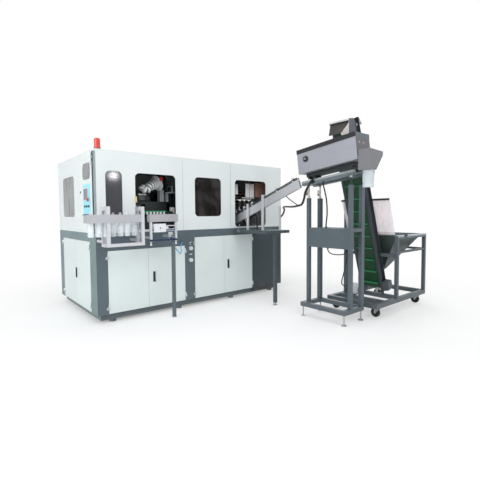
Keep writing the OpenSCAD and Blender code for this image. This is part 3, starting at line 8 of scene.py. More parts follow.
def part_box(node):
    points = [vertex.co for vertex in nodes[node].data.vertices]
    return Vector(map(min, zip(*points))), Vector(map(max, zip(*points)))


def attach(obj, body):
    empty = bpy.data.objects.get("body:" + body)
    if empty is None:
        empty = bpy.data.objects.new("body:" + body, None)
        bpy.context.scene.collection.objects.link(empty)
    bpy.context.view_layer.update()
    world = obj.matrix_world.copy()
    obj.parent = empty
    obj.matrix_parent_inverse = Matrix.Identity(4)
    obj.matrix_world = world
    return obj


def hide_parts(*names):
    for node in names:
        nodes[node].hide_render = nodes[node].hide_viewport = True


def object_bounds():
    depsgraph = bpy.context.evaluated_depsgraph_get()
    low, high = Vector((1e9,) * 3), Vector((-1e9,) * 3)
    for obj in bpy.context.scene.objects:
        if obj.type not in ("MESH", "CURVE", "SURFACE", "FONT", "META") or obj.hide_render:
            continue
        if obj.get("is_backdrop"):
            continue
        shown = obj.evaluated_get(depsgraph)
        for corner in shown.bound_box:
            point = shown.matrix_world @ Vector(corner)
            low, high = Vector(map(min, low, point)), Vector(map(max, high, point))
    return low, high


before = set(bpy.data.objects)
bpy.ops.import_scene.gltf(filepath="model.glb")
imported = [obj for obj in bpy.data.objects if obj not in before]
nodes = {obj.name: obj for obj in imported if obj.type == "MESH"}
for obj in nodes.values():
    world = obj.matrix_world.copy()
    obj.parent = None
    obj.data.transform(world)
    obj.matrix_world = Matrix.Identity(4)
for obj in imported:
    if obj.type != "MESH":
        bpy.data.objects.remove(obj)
cad_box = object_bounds()

# The drawing's own corner: the cabinet's front left corner on the floor
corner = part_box("base_frame")[0]
ORIGIN = (corner.x, corner.y, 0.0)


def at(x, y, z):
    """A point in the row frame, from millimetres measured at the cabinet's front left corner."""
    return Vector((corner.x + x / 1000, corner.y + y / 1000, z / 1000))


def tone(code):
    """The linear colour of a hexadecimal sRGB code."""
    values = [int(code[i:i + 2], 16) / 255 for i in (0, 2, 4)]
    return tuple(v / 12.92 if v <= 0.04045 else ((v + 0.055) / 1.055) ** 2.4 for v in values)


# Places and slopes taken from the part's source, in millimetres and radians
TROUGH_Y, TROUGH_Z, TROUGH_TILT = -1205, 1731, math.radians(6.65)
CONV_X, CONV_Z, LEAN = 3150, 206.478, math.radians(19)
CONV_NEAR, CONV_FAR = -1751, -1429
CHUTE_Y, CHUTE_Z, CHUTE_TILT = -235, 1354, math.radians(20.3)

# ---------------------------------------------------------------- materials


class Nodes:
    """Short names for building a node tree. Positions are the object's own, so they ride along."""

    def __init__(self, name):
        self.mat = bpy.data.materials.new(name)
        self.mat.use_nodes = True
        self.tree = self.mat.node_tree
        self.tree.nodes.clear()
        self.out = self.make("OutputMaterial")
        self.shader = self.make("BsdfPrincipled")
        self.feed(self.out.inputs[0], self.shader.outputs[0])
        coords = self.make("TexCoord").outputs
        self.place, self.normal = coords["Object"], coords["Normal"]
        self.split = {}  # separated coordinates, made when first asked for

    def feed(self, socket, value):
        """Gives a socket a number or a colour, or links another node's output to it."""
        if isinstance(value, bpy.types.NodeSocket):
            self.tree.links.new(value, socket)
        elif socket.type == "RGBA":
            socket.default_value = (*value[:3], 1.0)
        else:
            socket.default_value = value

    def make(self, kind, inputs=()):
        """A node with its inputs, given as pairs of name or number and value."""
        made = self.tree.nodes.new("ShaderNode" + kind)
        for key, value in inputs:
            self.feed(made.inputs[key], value)
        return made

    def set(self, **values):
        """Feeds inputs of the surface shader, named with _ for a space."""
        for key, value in values.items():
            self.feed(self.shader.inputs[key.replace("_", " ")], value)

    def scaled(self, *scale):
        """The place, stretched along the three axes."""
        return self.make("Mapping", (("Scale", scale), ("Vector", self.place))).outputs[0]

    def noise(self, scale, detail=4, rough=0.5, co=None):
        return self.make("TexNoise", (("Scale", scale), ("Detail", detail), ("Roughness", rough),
                                      ("Vector", co or self.place))).outputs["Fac"]

    def ramp(self, fac, lo, hi, a=0.0, b=1.0):
        """A number that goes from a to b while fac goes from lo to hi."""
        return self.make("MapRange", (("From Min", lo), ("From Max", hi), ("To Min", a),
                                      ("To Max", b), ("Value", fac))).outputs[0]

    def mix(self, fac, a, b, blend="MIX"):
        """A colour that goes from a to b with fac. Sockets 6 and 7 of a Mix node take colours."""
        m = self.make("Mix")
        m.data_type = "RGBA"
        m.blend_type = blend
        for socket, value in ((0, fac), (6, a), (7, b)):
            self.feed(m.inputs[socket], value)
        return m.outputs[2]

    def times(self, col, k):
        return self.mix(1.0, col, (k, k, k), "MULTIPLY")

    def blend(self, fac, a, b):
        """A number that goes from a to b with fac. Sockets 2 and 3 of a Mix node take numbers."""
        return self.make("Mix", ((0, fac), (2, a), (3, b))).outputs[0]

    def math(self, op, a, b=0.0, clamp=False):
        m = self.make("Math", ((0, a), (1, b)))
        m.operation = op
        m.use_clamp = clamp
        return m.outputs[0]

    def axis(self, i, source="place"):
        """One coordinate of the place, or with source "normal" of the surface's direction."""
        if source not in self.split:
            vector = self.normal if source == "normal" else self.place
            self.split[source] = self.make("SeparateXYZ", ((0, vector),)).outputs
        return self.split[source][i]

    def within(self, *limits):
        """1 where each value lies between its two bounds, else 0; None leaves a side open."""
        fac = None
        for value, lo, hi in limits:
            for limit, op in ((lo, "GREATER_THAN"), (hi, "LESS_THAN")):
                if limit is not None:
                    test = self.math(op, value, limit)
                    fac = test if fac is None else self.math("MULTIPLY", fac, test)
        return fac

    def upright(self, lo, hi):
        """The limits of the box from lo to hi, given in drawing millimetres."""
        return [(self.axis(i), *(None if v is None else base + v / 1000 for v in (a, b)))
                for i, (base, a, b) in enumerate(zip(ORIGIN, lo, hi))]

    def inside(self, lo, hi):
        """1 inside the box from lo to hi, else 0."""
        return self.within(*self.upright(lo, hi))

    def turned(self, i, j, origin, angle):
        """Millimetres along the axes i and j of a frame turned by angle about origin."""
        u = self.math("SUBTRACT", self.axis(i), ORIGIN[i] + origin[0] / 1000)
        v = self.math("SUBTRACT", self.axis(j), ORIGIN[j] + origin[1] / 1000)
        c, s = math.cos(angle) * 1000, math.sin(angle) * 1000
        first = self.math("SUBTRACT", self.math("MULTIPLY", u, c), self.math("MULTIPLY", v, s))
        second = self.math("ADD", self.math("MULTIPLY", u, s), self.math("MULTIPLY", v, c))
        return first, second

    def bump(self, height, strength, distance):
        made = self.make("Bump", (("Strength", strength), ("Distance", distance),
                                  ("Height", height)))
        self.set(Normal=made.outputs[0])


# Zones are places with a look of their own: each is a function that gives 1 inside and 0
# outside, and box corners are in drawing millimetres
OPEN = (None, None, None)
# A face looks along an axis where its direction has at least this share of it
FACING = 0.6


def box_zone(lo, hi):
    return lambda n: n.inside(lo, hi)


def facing(i, sign):
    """The faces that look along an axis."""
    op = "GREATER_THAN" if sign > 0 else "LESS_THAN"
    return lambda n: n.math(op, n.axis(i, "normal"), FACING * sign)


def tilted_zone(axes, origin, angle, first, second, lo=OPEN, hi=OPEN):
    """A box in a frame turned about origin, with bounds along its two axes, cut by a plain box."""
    def fac(n):
        u, v = n.turned(*axes, origin, angle)
        return n.within((u, *first), (v, *second), *n.upright(lo, hi))
    return fac


def sorter_zone(z_lo, z_hi, y=(None, None), lo=OPEN, hi=OPEN):
    """A band of the sloping sorter, from its own height and length."""
    return tilted_zone((1, 2), (TROUGH_Y, TROUGH_Z), TROUGH_TILT, y, (z_lo, z_hi), lo, hi)


def conveyor_zone(x_lo, x_hi, z_lo, z_hi, y_lo=CONV_NEAR, y_hi=CONV_FAR):
    """A box that leans with the elevator."""
    return tilted_zone((2, 0), (CONV_Z, CONV_X), LEAN, (z_lo, z_hi), (x_lo, x_hi),
                       (None, y_lo, None), (None, y_hi, None))


def round_zone(i, j, centre, radius, lo, hi):
    """A round bar or hole along the third axis, cut to a box."""
    def fac(n):
        u, v = n.turned(i, j, centre, 0.0)
        d = n.math("SQRT", n.math("ADD", n.math("MULTIPLY", u, u), n.math("MULTIPLY", v, v)))
        return n.within((d, None, radius), *n.upright(lo, hi))
    return fac


def zoned(n, colour, rough, metal, zones):
    """The plain colour, roughness and metal of a material, changed inside its zones."""
    col, rou, met = colour, rough, metal
    for where, c, r, m in zones:
        f = where(n)
        col, rou, met = n.mix(f, col, c), n.blend(f, rou, r), n.blend(f, met, m)
    return col, rou, met


def finish_with(n, col, rou, met, wear_rough):
    n.set(Base_Color=col, Metallic=met, Roughness=n.math("ADD", wear_rough, rou, True))


# In the finishes below, noise scales are per metre: low ones fade or cloud the surface, high
# ones are its specks and grain. Bump distances are in metres.


def paint(name, colour, rough=0.42, dirt=0.12, floor_dirt=0.0, zones=()):
    """Sprayed enamel: orange peel, faint dust and slight fading, and dirt near the floor."""
    n = Nodes(name)
    col, rou, met = zoned(n, colour, rough, 0.0, zones)
    cloud = n.noise(2.3, 5, 0.55)
    col = n.mix(n.ramp(cloud, 0.3, 0.72), n.times(col, 1 - dirt), n.times(col, 1 + dirt * 0.35))
    speck = n.noise(160, 3, 0.6)
    col = n.mix(n.math("MULTIPLY", n.ramp(speck, 0.66, 0.8), 0.22), col, n.times(col, 0.72))
    if floor_dirt:
        low = n.ramp(n.axis(2), 0.22, 0.0)
        patchy = n.math("MULTIPLY", low, n.ramp(n.noise(9, 5), 0.3, 0.7))
        col = n.mix(n.math("MULTIPLY", patchy, floor_dirt, True), col, FLOOR_DUST)
    n.set(Specular_IOR_Level=0.4)
    finish_with(n, col, rou, met, n.ramp(n.noise(6, 4), 0.3, 0.7, -0.05, 0.09))
    n.bump(n.noise(420, 2, 0.5), 0.10, 0.0006)
    return n


def brushed(name, colour, along, rough=0.34, metal=1.0, streak=0.22, zones=()):
    """Rolled or brushed metal with its grain along one axis."""
    n = Nodes(name)
    col, rou, met = zoned(n, colour, rough, metal, zones)
    stretch = [260.0, 260.0, 260.0]
    stretch[along] = 4.0
    grain = n.noise(1.0, 4, 0.6, n.scaled(*stretch))
    broad = n.noise(3.5, 4, 0.5)
    col = n.mix(n.ramp(grain, 0.3, 0.72), n.times(col, 1 - streak), col)
    col = n.mix(n.ramp(broad, 0.35, 0.75, 0.0, 0.35), col, n.times(col, 1.16))
    finish_with(n, col, rou, met, n.ramp(grain, 0.25, 0.75, -0.08, 0.12))
    n.bump(grain, 0.06, 0.0008)
    return n


def rubber(name, colour, rough=0.62, grain=300, zones=()):
    """Rubber or belting with a fine grain."""
    n = Nodes(name)
    col, rou, met = zoned(n, colour, rough, 0.0, zones)
    f = n.noise(grain, 3, 0.6)
    col = n.mix(n.ramp(f, 0.3, 0.75), n.times(col, 0.75), n.times(col, 1.25))
    finish_with(n, col, rou, met, n.ramp(n.noise(14, 4), 0.3, 0.7, -0.08, 0.1))
    n.bump(f, 0.15, 0.0008)
    return n


def plastic(name, colour, rough=0.25, zones=()):
    """Moulded plastic, slightly uneven."""
    n = Nodes(name)
    col, rou, met = zoned(n, colour, rough, 0.0, zones)
    f = n.noise(18, 4)
    col = n.mix(n.ramp(f, 0.3, 0.7), n.times(col, 0.9), col)
    n.set(Specular_IOR_Level=0.5)
    finish_with(n, col, rou, met, n.ramp(n.noise(60, 3), 0.3, 0.7, 0.0, 0.1))
    n.bump(n.noise(500, 2), 0.04, 0.0004)
    return n


def clear(name, colour, alpha, rough=0.05, smear=0.04, zones=()):
    """A thin see-through sheet, more or less hidden by dust. A zone's last number is its alpha."""
    n = Nodes(name)
    col, rou, hide = zoned(n, colour, rough, alpha, zones)
    streaks = n.noise(5, 5, 0.6, n.scaled(1.6, 1.6, 0.5))
    dust = n.ramp(streaks, 0.3, 0.75, -smear, smear)
    haze = n.ramp(n.noise(25, 4), 0.3, 0.7, 0.0, 0.025)
    n.set(Base_Color=n.mix(n.ramp(streaks, 0.3, 0.75), n.times(col, 0.8), n.times(col, 1.2)),
          IOR=1.49, Alpha=n.math("ADD", dust, hide, True),
          Roughness=n.math("ADD", haze, rou, True))
    return n


def dress(mat, *names):
    """Gives CAD nodes their material."""
    for name in names:
        slots = nodes[name].material_slots
        if not slots:
            nodes[name].data.materials.append(mat.mat)
        for s in slots:
            s.material = mat.mat


GREY = tone("59676e")
SLATE = tone("5a666c")
STEEL = tone("b9bdc0")
WHITE = tone("dfe6e6")
DOOR = tone("dbe5e4")
BLACK = (0.010, 0.010, 0.012)
FLOOR_DUST = (0.19, 0.18, 0.16)

# A zone in a list is its place, colour, roughness and metal
# The base's faces that look to the left are painted lighter, as painted light falling from the
# left
base_paint = paint("base_paint", GREY, 0.45, 0.14, 0.5, zones=(
    (box_zone((2385, -40, None), (None, 60, 1012)), tone("38444a"), 0.45, 0.0),
    (facing(0, -1), tone("74898b"), 0.45, 0.0)))
upper_paint = paint("frame_paint", tone("2a2f33"), 0.45, 0.12, zones=(
    (box_zone((-5, -5, 1040), (20, 20.1, 2000)), tone("93a1a5"), 0.42, 0.0),))
white_paint = paint("guard_paint", WHITE, 0.38, 0.035)
control_paint = paint("control_door_paint", WHITE, 0.38, 0.035, zones=(
    (box_zone((-8, 494, 1522), (-1.6, 524, 1552)), BLACK, 0.3, 0.0),))


def leaf_paint(name, *escutcheon):
    """Door enamel, with a black escutcheon where the corners of its box are given."""
    zones = ((box_zone(*escutcheon), BLACK, 0.3, 0.0),) if escutcheon else ()
    return paint(name, DOOR, 0.36, 0.04, 0.15, zones)


dress(base_paint, "base_frame")
dress(upper_paint, "upper_frame")
dress(white_paint, "front_guards", "left_end_guard", "rear_guards", "roof_panel", "mould_door")
dress(control_paint, "control_door")
dress(leaf_paint("door_paint"), "door_a_left", "door_b_left", "end_door_far")
dress(leaf_paint("door_a_paint", (690, -20, 400), (734, -0.1, 560)), "door_a_right")
dress(leaf_paint("door_b_paint", (1880, -20, 450), (1924, -0.1, 610)), "door_b_right")
dress(leaf_paint("end_door_paint", (-20, 750, 440), (-0.1, 800, 600)), "end_door_near")
dress(brushed("hinge_steel", tone("c3cbcd"), 2, 0.42, 0.6, 0.1), "door_hinges")

END_PANE = tone("989b9b")


def painted_end_reflections(n):
    """Painted reflections on the left end's panes: upright dark shapes."""
    f = n.noise(1.0, 2, 0.45, n.scaled(1.0, 15.0, 1.8))
    return n.math("MULTIPLY", facing(0, -1)(n), n.ramp(f, 0.50, 0.57))


def painted_oven_glow(n):
    """A painted glow of the oven behind the third window."""
    f = n.noise(11.0, 4, 0.6, n.scaled(1.0, 1.0, 0.7))
    window = n.inside((1330, None, 1330), (1790, None, 1780))
    return n.math("MULTIPLY", window, n.ramp(f, 0.56, 0.70))


# The first window is paler and duller; the third window carries the oven's painted glow, and the
# left end's panes are grey with painted dark reflections
dress(clear("pane_tint", tone("252222"), 0.68, 0.05, 0.05, zones=(
    (box_zone((None, None, 1180), (340, 60, 1790)), tone("43444a"), 0.075, 0.80),
    (painted_oven_glow, tone("5b4439"), 0.12, 0.74),
    (facing(0, -1), END_PANE, 0.12, 0.74), (facing(0, 1), END_PANE, 0.12, 0.72),
    (painted_end_reflections, tone("5e6162"), 0.12, 0.80))), "window_panes")
dress(clear("mould_pane_tint", tone("2a2524"), 0.60, 0.05, 0.05), "mould_door_pane")
dress(clear("end_pane_tint", END_PANE, 0.72, 0.12, 0.05), "control_door_pane")
beacon = plastic("beacon_red", tone("d6352c"), 0.14, zones=(
    (box_zone((None, None, 2000), (None, None, 2015.4)), tone("8d9294"), 0.4, 0.0),))
beacon.set(Coat_Weight=0.5)
dress(beacon, "warning_beacon")
dress(plastic("gauge_white", tone("d8e0e2"), 0.2, zones=(
    (round_zone(0, 2, (1250, 868), 7.5, (1200, -60, None), (1300, -20, None)), BLACK, 0.3, 0.0),)),
    "air_gauges")
black = plastic("black_moulding", BLACK, 0.34)
dress(black, "regulator_knob", "door_a_handle", "door_b_handle", "end_door_handle", "stop_button",
      "reset_button")
# Operator panel: bezel, screen, selectors and the collars round the buttons
dress(paint("panel_cyan", tone("96e2f2"), 0.35, 0.05, zones=(
    (box_zone((None, 190, 1418), (-4.3, 368, 1584)), tone("cfd8dc"), 0.35, 0.0),
    (box_zone((None, 208, 1436), (-8.6, 350, 1566)), tone("70717c"), 0.12, 0.0),
    (box_zone((-30, None, 1230), (-4.3, None, 1290)), BLACK, 0.35, 0.0),
    (box_zone((-30, None, 1340), (-4.3, None, 1380)), tone("9aa2a5"), 0.3, 0.7))),
    "operator_panel")
dress(plastic("stop_red", tone("c81812"), 0.16), "emergency_stop")
dress(plastic("start_green", tone("1d7a4a"), 0.2), "start_button")

dress(brushed("aluminium_post", tone("d2d3d8"), 2, 0.38, 0.55, 0.07), "outfeed_frame")
# Discharge unit: top plate, standing leg, lower bar and guide rods
dress(brushed("discharge_metal", tone("cfd0d5"), 2, 0.38, 0.55, 0.08, zones=(
    (box_zone((None, None, 1170), (None, -312, None)), tone("b3b2b6"), 0.36, 0.75),
    (box_zone((810, -296, None), (852, -255, 975)), SLATE, 0.42, 0.0),
    (box_zone((None, -320, 945), (None, -297, 970)), tone("16294f"), 0.35, 0.0),
    (box_zone((538.1, None, 1066), (838, None, 1083)), tone("1c3f78"), 0.35, 0.0))),
    "discharge_frame")
dress(brushed("rail_plate", tone("bcbec3"), 0, 0.36, 0.75, 0.12), "bottle_rail")
dress(plastic("slide_white", tone("e4e6ea"), 0.32), "discharge_slide")
dress(clear("bottle_clear", tone("f2f8fc"), 0.52, 0.10, 0.14), "bottles")
# Infeed table: posts above the top, clamp lever at its left and foot
dress(paint("table_paint", tone("4b565b"), 0.4, 0.14, zones=(
    (box_zone((None, None, 1025.1), OPEN), tone("d9dadc"), 0.4, 0.5),
    (box_zone((None, -200, None), (1999.9, -80, None)), STEEL, 0.3, 0.9),
    (box_zone(OPEN, (None, None, 34.2)), STEEL, 0.34, 0.9))), "infeed_table")
chute_guides = tilted_zone((1, 2), (CHUTE_Y, CHUTE_Z), CHUTE_TILT, (None, None), (13.5, 26.5))
dress(brushed("chute_steel", tone("cbccd1"), 1, 0.34, 0.5, 0.08, zones=(
    (chute_guides, tone("34383b"), 0.35, 0.3),)), "preform_chute")
# Clamp frame: the gripper jaws that the window shows, and the bare clamp behind
dress(paint("machine_green", tone("2a3234"), 0.4, 0.2, zones=(
    (box_zone((765, 150, 1183), (1000, 190, 1213)), tone("dcdfe0"), 0.4, 0.0),
    (box_zone((1290, 345, 1130), (1810, 1200, None)), tone("8f949a"), 0.25, 0.8))), "clamp_frame")
dress(brushed("mould_metal", tone("9ea3a8"), 0, 0.28), "mould_near", "mould_far")
# The preforms on the wheel are pale and the oven's lamps bright
dress(brushed("wheel_metal", tone("a9adb2"), 0, 0.28, 0.9, zones=(
    (box_zone((None, None, 1214.5), (None, None, 1330)), tone("e3e9ee"), 0.15, 0.0),)),
    "spindle_wheel")
dress(paint("oven_paint", tone("7a5a4c"), 0.45, 0.2, zones=(
    (box_zone((2492.3, 750, None), (2907.7, 770, None)), tone("e9e2d8"), 0.15, 0.0),)), "oven")

# Stand: jacking rods, then the cradle's sides and top, the carrier under the trough painted
# near-black as the shade there, and the feet
dress(paint("stand_paint", tone("566168"), 0.42, 0.12, 0.4, zones=(
    (box_zone((None, -1860, 1568), (2300, -1790, 1700)), STEEL, 0.3, 0.9),
    (box_zone((None, -1300, 1445), (None, -1200, 1600)), STEEL, 0.35, 0.8),
    (box_zone((None, -1860, 1568), (None, -1790, 1650)), tone("3b4043"), 0.35, 0.6),
    (sorter_zone(-129.5, -99), tone("6d787e"), 0.42, 0.0),
    (sorter_zone(-99, -73.9, lo=(None, None, 1500)), tone("b4b8bd"), 0.38, 0.3),
    # Painted shade: the carrier under the trough is near-black
    (sorter_zone(-73.9, None, lo=(2100, None, 1580), hi=(2260, None, None)),
     tone("232a2a"), 0.4, 0.0),
    (box_zone(OPEN, (None, None, 119)), STEEL, 0.34, 0.9))), "stand_frame")
# Trough: near end plate, top flanges, drive box and the knob's boss
dress(brushed("trough_steel", tone("a3a5ad"), 1, 0.38, 0.45, 0.12, zones=(
    (sorter_zone(-40, 400, (-900, -793)), tone("68686b"), 0.45, 0.2),
    (sorter_zone(238.8, 400), tone("5c6870"), 0.4, 0.1),
    (box_zone(OPEN, (None, -1999.5, None)), tone("7b7c80"), 0.42, 0.3),
    (box_zone((2030, None, None), (2049.5, None, None)), BLACK, 0.3, 0.0))), "sorter_trough")
dress(brushed("roller_steel", tone("d0d1d4"), 1, 0.14), "sorter_roller_left",
      "sorter_roller_right")
dress(paint("motor_paint", tone("ced7db"), 0.4, 0.08), "sorter_motor")
# Cleats on both runs of the belt are painted lighter, as a painted highlight of the light they
# catch
LIT_CLEAT = tone("3f9a64")
dress(rubber("belt_green", tone("114527"), 0.45, 200, zones=(
    (conveyor_zone(50.5, 90, 0, 2300), LIT_CLEAT, 0.4, 0.0),
    (conveyor_zone(-90, -50.5, 0, 2300), LIT_CLEAT, 0.4, 0.0))), "elevator_belt")
dress(brushed("shaft_steel", STEEL, 1, 0.26), "head_pulley", "tail_pulley",
      "caster_fork_left", "caster_fork_right")
# Elevator: inner faces of the channels, darkened as painted shade beside the belt, clamp bars,
# the hood's apron painted near-black as the shade inside the hood, the cheek of the hood with its
# bar, the geared motor and the casters
dress(paint("elevator_paint", tone("545e64"), 0.42, 0.12, 0.4, zones=(
    # Painted shade: the channels' inner faces beside the belt are darker
    (conveyor_zone(-51, 51, -5, 2275), tone("43494e"), 0.42, 0.0),
    (conveyor_zone(29, 51, 1254, 1276, -2000, -1200), tone("2b3033"), 0.42, 0.0),
    # Painted shade: the apron in the hood's open front is near-black, for the shade inside the
    # hood
    (box_zone((None, -1760, 2095), (2318, -1440, 2304)), tone("161511"), 0.65, 0.0),
    (box_zone((None, -1752.4, 2095), (2262, -1750, 2345)), tone("d6d1ca"), 0.45, 0.0),
    (box_zone((2262, -1752.4, 2095), (2450, -1750, 2345)), tone("565a62"), 0.45, 0.0),
    (box_zone((2311, -1752, 2303.1), (2328, -1440, 2316)), tone("1f2022"), 0.4, 0.2),
    (round_zone(0, 1, (2855, -1465), 49, (2790, None, 202), (2920, None, 345)),
     tone("c3cacd"), 0.4, 0.0),
    (box_zone(OPEN, (None, None, 134.9)), STEEL, 0.34, 0.9))), "elevator_frame")
dress(paint("bin_paint", tone("3f4c4b"), 0.36, 0.18), "hopper_bin")
dress(clear("wing_sheet", tone("f9eff4"), 0.58, 0.2, 0.06, zones=(
    (box_zone((None, None, 2280), OPEN), tone("dfe2e6"), 0.2, 0.8),)), "guard_sheets")
dress(rubber("wheel_rubber", tone("202122"), 0.5), "caster_wheel_near_left",
      "caster_wheel_near_right", "caster_wheel_far_left", "caster_wheel_far_right")

# ---------------------------------------------------------------- mesh pieces

# Edges sharper than this stay crisp in a smooth surface
CREASE = math.radians(32)
# A revolved form ends in a circle of at least this radius, in millimetres
TIP_R = 0.01


def across(way):
    """A direction square to way, and the one square to both; steep ways are measured from x."""
    side = Vector((1, 0, 0)) if abs(way.z) > 0.8 else Vector((0, 0, 1))
    side = (side - way * side.dot(way)).normalized()
    return side, way.cross(side)


def skin(rows, n):
    """The faces of a tube of rings with n points each."""
    return [(i * n + k, i * n + (k + 1) % n, (i + 1) * n + (k + 1) % n, (i + 1) * n + k)
            for i in range(rows) for k in range(n)]


class Piece:
    """One mesh in row-frame metres, built from forms given in drawing millimetres."""

    def __init__(self, name, body, finish, *mats):
        self.name, self.body, self.finish, self.mats = name, body, finish, mats
        self.bm = bmesh.new()
        self.slot = 0

    def use(self, mat):
        """The material of the forms that follow."""
        self.slot = self.mats.index(mat)
        return self

    def add(self, points, faces, smooth=False):
        verts = [self.bm.verts.new(at(*p)) for p in points]
        made = []
        for f in faces:
            face = self.bm.faces.new([verts[i] for i in f])
            face.material_index = self.slot
            face.smooth = smooth
            made.append(face)
        return made

    def box(self, lo, hi, edge=0):
        """A box, sharp or with edges rounded by edge."""
        x, y, z = zip(lo, hi)
        p = [(x[i], y[j], z[k]) for i in (0, 1) for j in (0, 1) for k in (0, 1)]
        q = ((0, 1, 3, 2), (4, 6, 7, 5), (0, 4, 5, 1), (2, 3, 7, 6), (0, 2, 6, 4), (1, 5, 7, 3))
        edges = list({e for f in self.add(p, q) for e in f.edges})
        if edge:
            bmesh.ops.bevel(self.bm, geom=edges, offset=edge / 1000, segments=2, affect="EDGES",
                            profile=0.5, material=self.slot)
        return self

    def sweep(self, centres, radii, n, row_mats=()):
        """A round skin along centres, with a radius for each and maybe a material for each row."""
        centres = [Vector(c) for c in centres]
        last = len(centres) - 1
        along = [(centres[min(i + 1, last)] - centres[max(i - 1, 0)]).normalized()
                 for i in range(last + 1)]
        side = across(along[0])[0]
        points = []
        for c, t, r in zip(centres, along, radii):
            side = (side - t * side.dot(t)).normalized()
            other = t.cross(side)
            for k in range(n):
                a = 2 * math.pi * k / n
                points.append(c + (side * math.cos(a) + other * math.sin(a)) * r)
        faces = self.add(points, skin(last, n), True)
        if row_mats:
            for k, face in enumerate(faces):
                face.material_index = self.mats.index(row_mats[k // n])
        self.add(points[:n], [tuple(range(n - 1, -1, -1))])
        self.add(points[-n:], [tuple(range(n))])
        return self

    def turn(self, profile, origin, along, n):
        """A revolved form: profile gives (height, radius) along an axis from origin."""
        origin, along = Vector(origin), Vector(along).normalized()
        side, other = across(along)
        points = [origin + along * h + (side * math.cos(a) + other * math.sin(a)) * max(r, TIP_R)
                  for h, r in profile for a in (2 * math.pi * k / n for k in range(n))]
        last = len(profile) - 1
        ends = [tuple(range(n - 1, -1, -1)), tuple(last * n + k for k in range(n))]
        self.add(points, skin(last, n) + ends, True)
        return self

    def done(self, *replaced):
        """Turns the forms into an object that rides its body and stands for CAD nodes."""
        bmesh.ops.remove_doubles(self.bm, verts=self.bm.verts, dist=1e-6)
        bmesh.ops.recalc_face_normals(self.bm, faces=self.bm.faces)
        for e in self.bm.edges:
            if len(e.link_faces) == 2 and e.calc_face_angle(0) > CREASE:
                e.smooth = False
        mesh = bpy.data.meshes.new(self.name)
        self.bm.to_mesh(mesh)
        self.bm.free()
        for m in self.mats:
            mesh.materials.append(m.mat)
        o = bpy.data.objects.new(self.name, mesh)
        bpy.context.scene.collection.objects.link(o)
        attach(o, self.body)
        if replaced:
            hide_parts(*replaced)
        return o


# Cords follow the part's own points: radius, steps between points, material, lay and points
CORDS = {
    "main_cable": (14, 5, "cable_black", "loose", [
        (3020.4, 60, 1180), (3036, 60, 1180), (3055, 60, 1182), (3088, 20, 1235),
        (3075, -30, 1315), (2990, -90, 1358), (2840, -290, 1362), (2600, -610, 1352),
        (2400, -890, 1358), (2290, -1055, 1376), (2200, -1165, 1440), (2130, -1240, 1508),
        (2112, -1302, 1585), (2136, -1320, 1636), (2158, -1320, 1641), (2174.6, -1320, 1641)]),
    "sensor_cable": (6, 4, "cable_black", "hanging", [
        (2166.4, -845, 1500), (2178, -845, 1500), (2192, -845, 1499), (2270, -885, 1430),
        (2376, -922, 1360)]),
    "motor_cable": (6, 3, "cable_black", "loose", [
        (2213.4, -2065, 1642), (2222, -2065, 1642), (2233, -2065, 1644), (2250, -2065, 1672),
        (2250, -2065, 1715), (2240, -2065, 1746), (2240, -2065, 1756), (2240, -2065, 1765.4)]),
    "drop_cable": (8, 3, "cable_black", "hanging", [
        (2198, -1455, 1629.4), (2198, -1455, 1614), (2197, -1457, 1590), (2192, -1504, 1425),
        (2192, -1516, 1260), (2197, -1500, 1140), (2198, -1498, 1110), (2198, -1498, 1096),
        (2198, -1498, 1080.4)]),
    "low_loop": (6, 4, "cable_black", "hanging", [
        (2198, -1524, 844.6), (2198, -1524, 832), (2197, -1530, 812), (2195, -1570, 782),
        (2194, -1650, 775), (2196, -1730, 785), (2198, -1766, 812), (2198, -1770, 832),
        (2198, -1770, 844.6)]),
    "post_loop": (6, 3, "cable_black", "hanging", [
        (2210, -1785, 844.6), (2210, -1785, 830), (2209, -1783, 800), (2205, -1745, 600),
        (2200, -1716, 480), (2198, -1722, 440), (2196, -1760, 428), (2196, -1785, 440),
        (2196, -1798, 441), (2196, -1807.6, 441)]),
    "table_cable": (12, 3, "cable_black", "loose", [
        (2430, -60, 1025.4), (2430, -60, 1042), (2430, -60, 1062), (2424, -60, 1180),
        (2430, -30, 1245), (2438, 30, 1240), (2432, 100, 1180), (2425, 148, 1132),
        (2424, 168, 1128), (2424, 184, 1128), (2424, 199.6, 1128)]),
    "air_hose": (6, 4, "hose_blue", "hanging", [
        (790, -307, 968.6), (790, -307, 978), (791, -303, 987), (796, -270, 996),
        (808, -236, 965), (850, -228, 900), (905, -215, 830), (960, -200, 775),
        (990, -180, 762), (1020, -150, 790), (1050, -90, 850), (1090, -46, 884),
        (1108, -26, 884), (1110, -12, 884), (1110, -0.4, 884)]),
}
cord_mats = {"cable_black": rubber("cable_rubber", tone("141415"), 0.42),
             "hose_blue": plastic("hose_blue", tone("58b4e4"), 0.2)}


def curve(points, steps):
    """The part's smooth curve through its points."""
    p = [Vector(q) for q in points]
    out = []
    for i in range(len(p) - 1):
        a, b, c, d = p[max(i - 1, 0)], p[i], p[i + 1], p[min(i + 2, len(p) - 1)]
        for k in range(steps):
            t = k / steps
            out.append((b * 2 + (c - a) * t + (a * 2 - b * 5 + c * 4 - d) * t * t
                        + (b * 3 - a - c * 3 + d) * t * t * t) * 0.5)
    return out + [p[-1]]


# Sleeve at a cord's end: length and width as shares of its whole length and the cord's radius
SLEEVE_GAP, SLEEVE_MOST = 0.3, 24
SLEEVE_STEPS = ((0.2, 1.9), (0.22, 1.5), (0.45, 1.45), (0.5, 1.3), (0.75, 1.25), (0.8, 1.12),
                (1, 1.1))

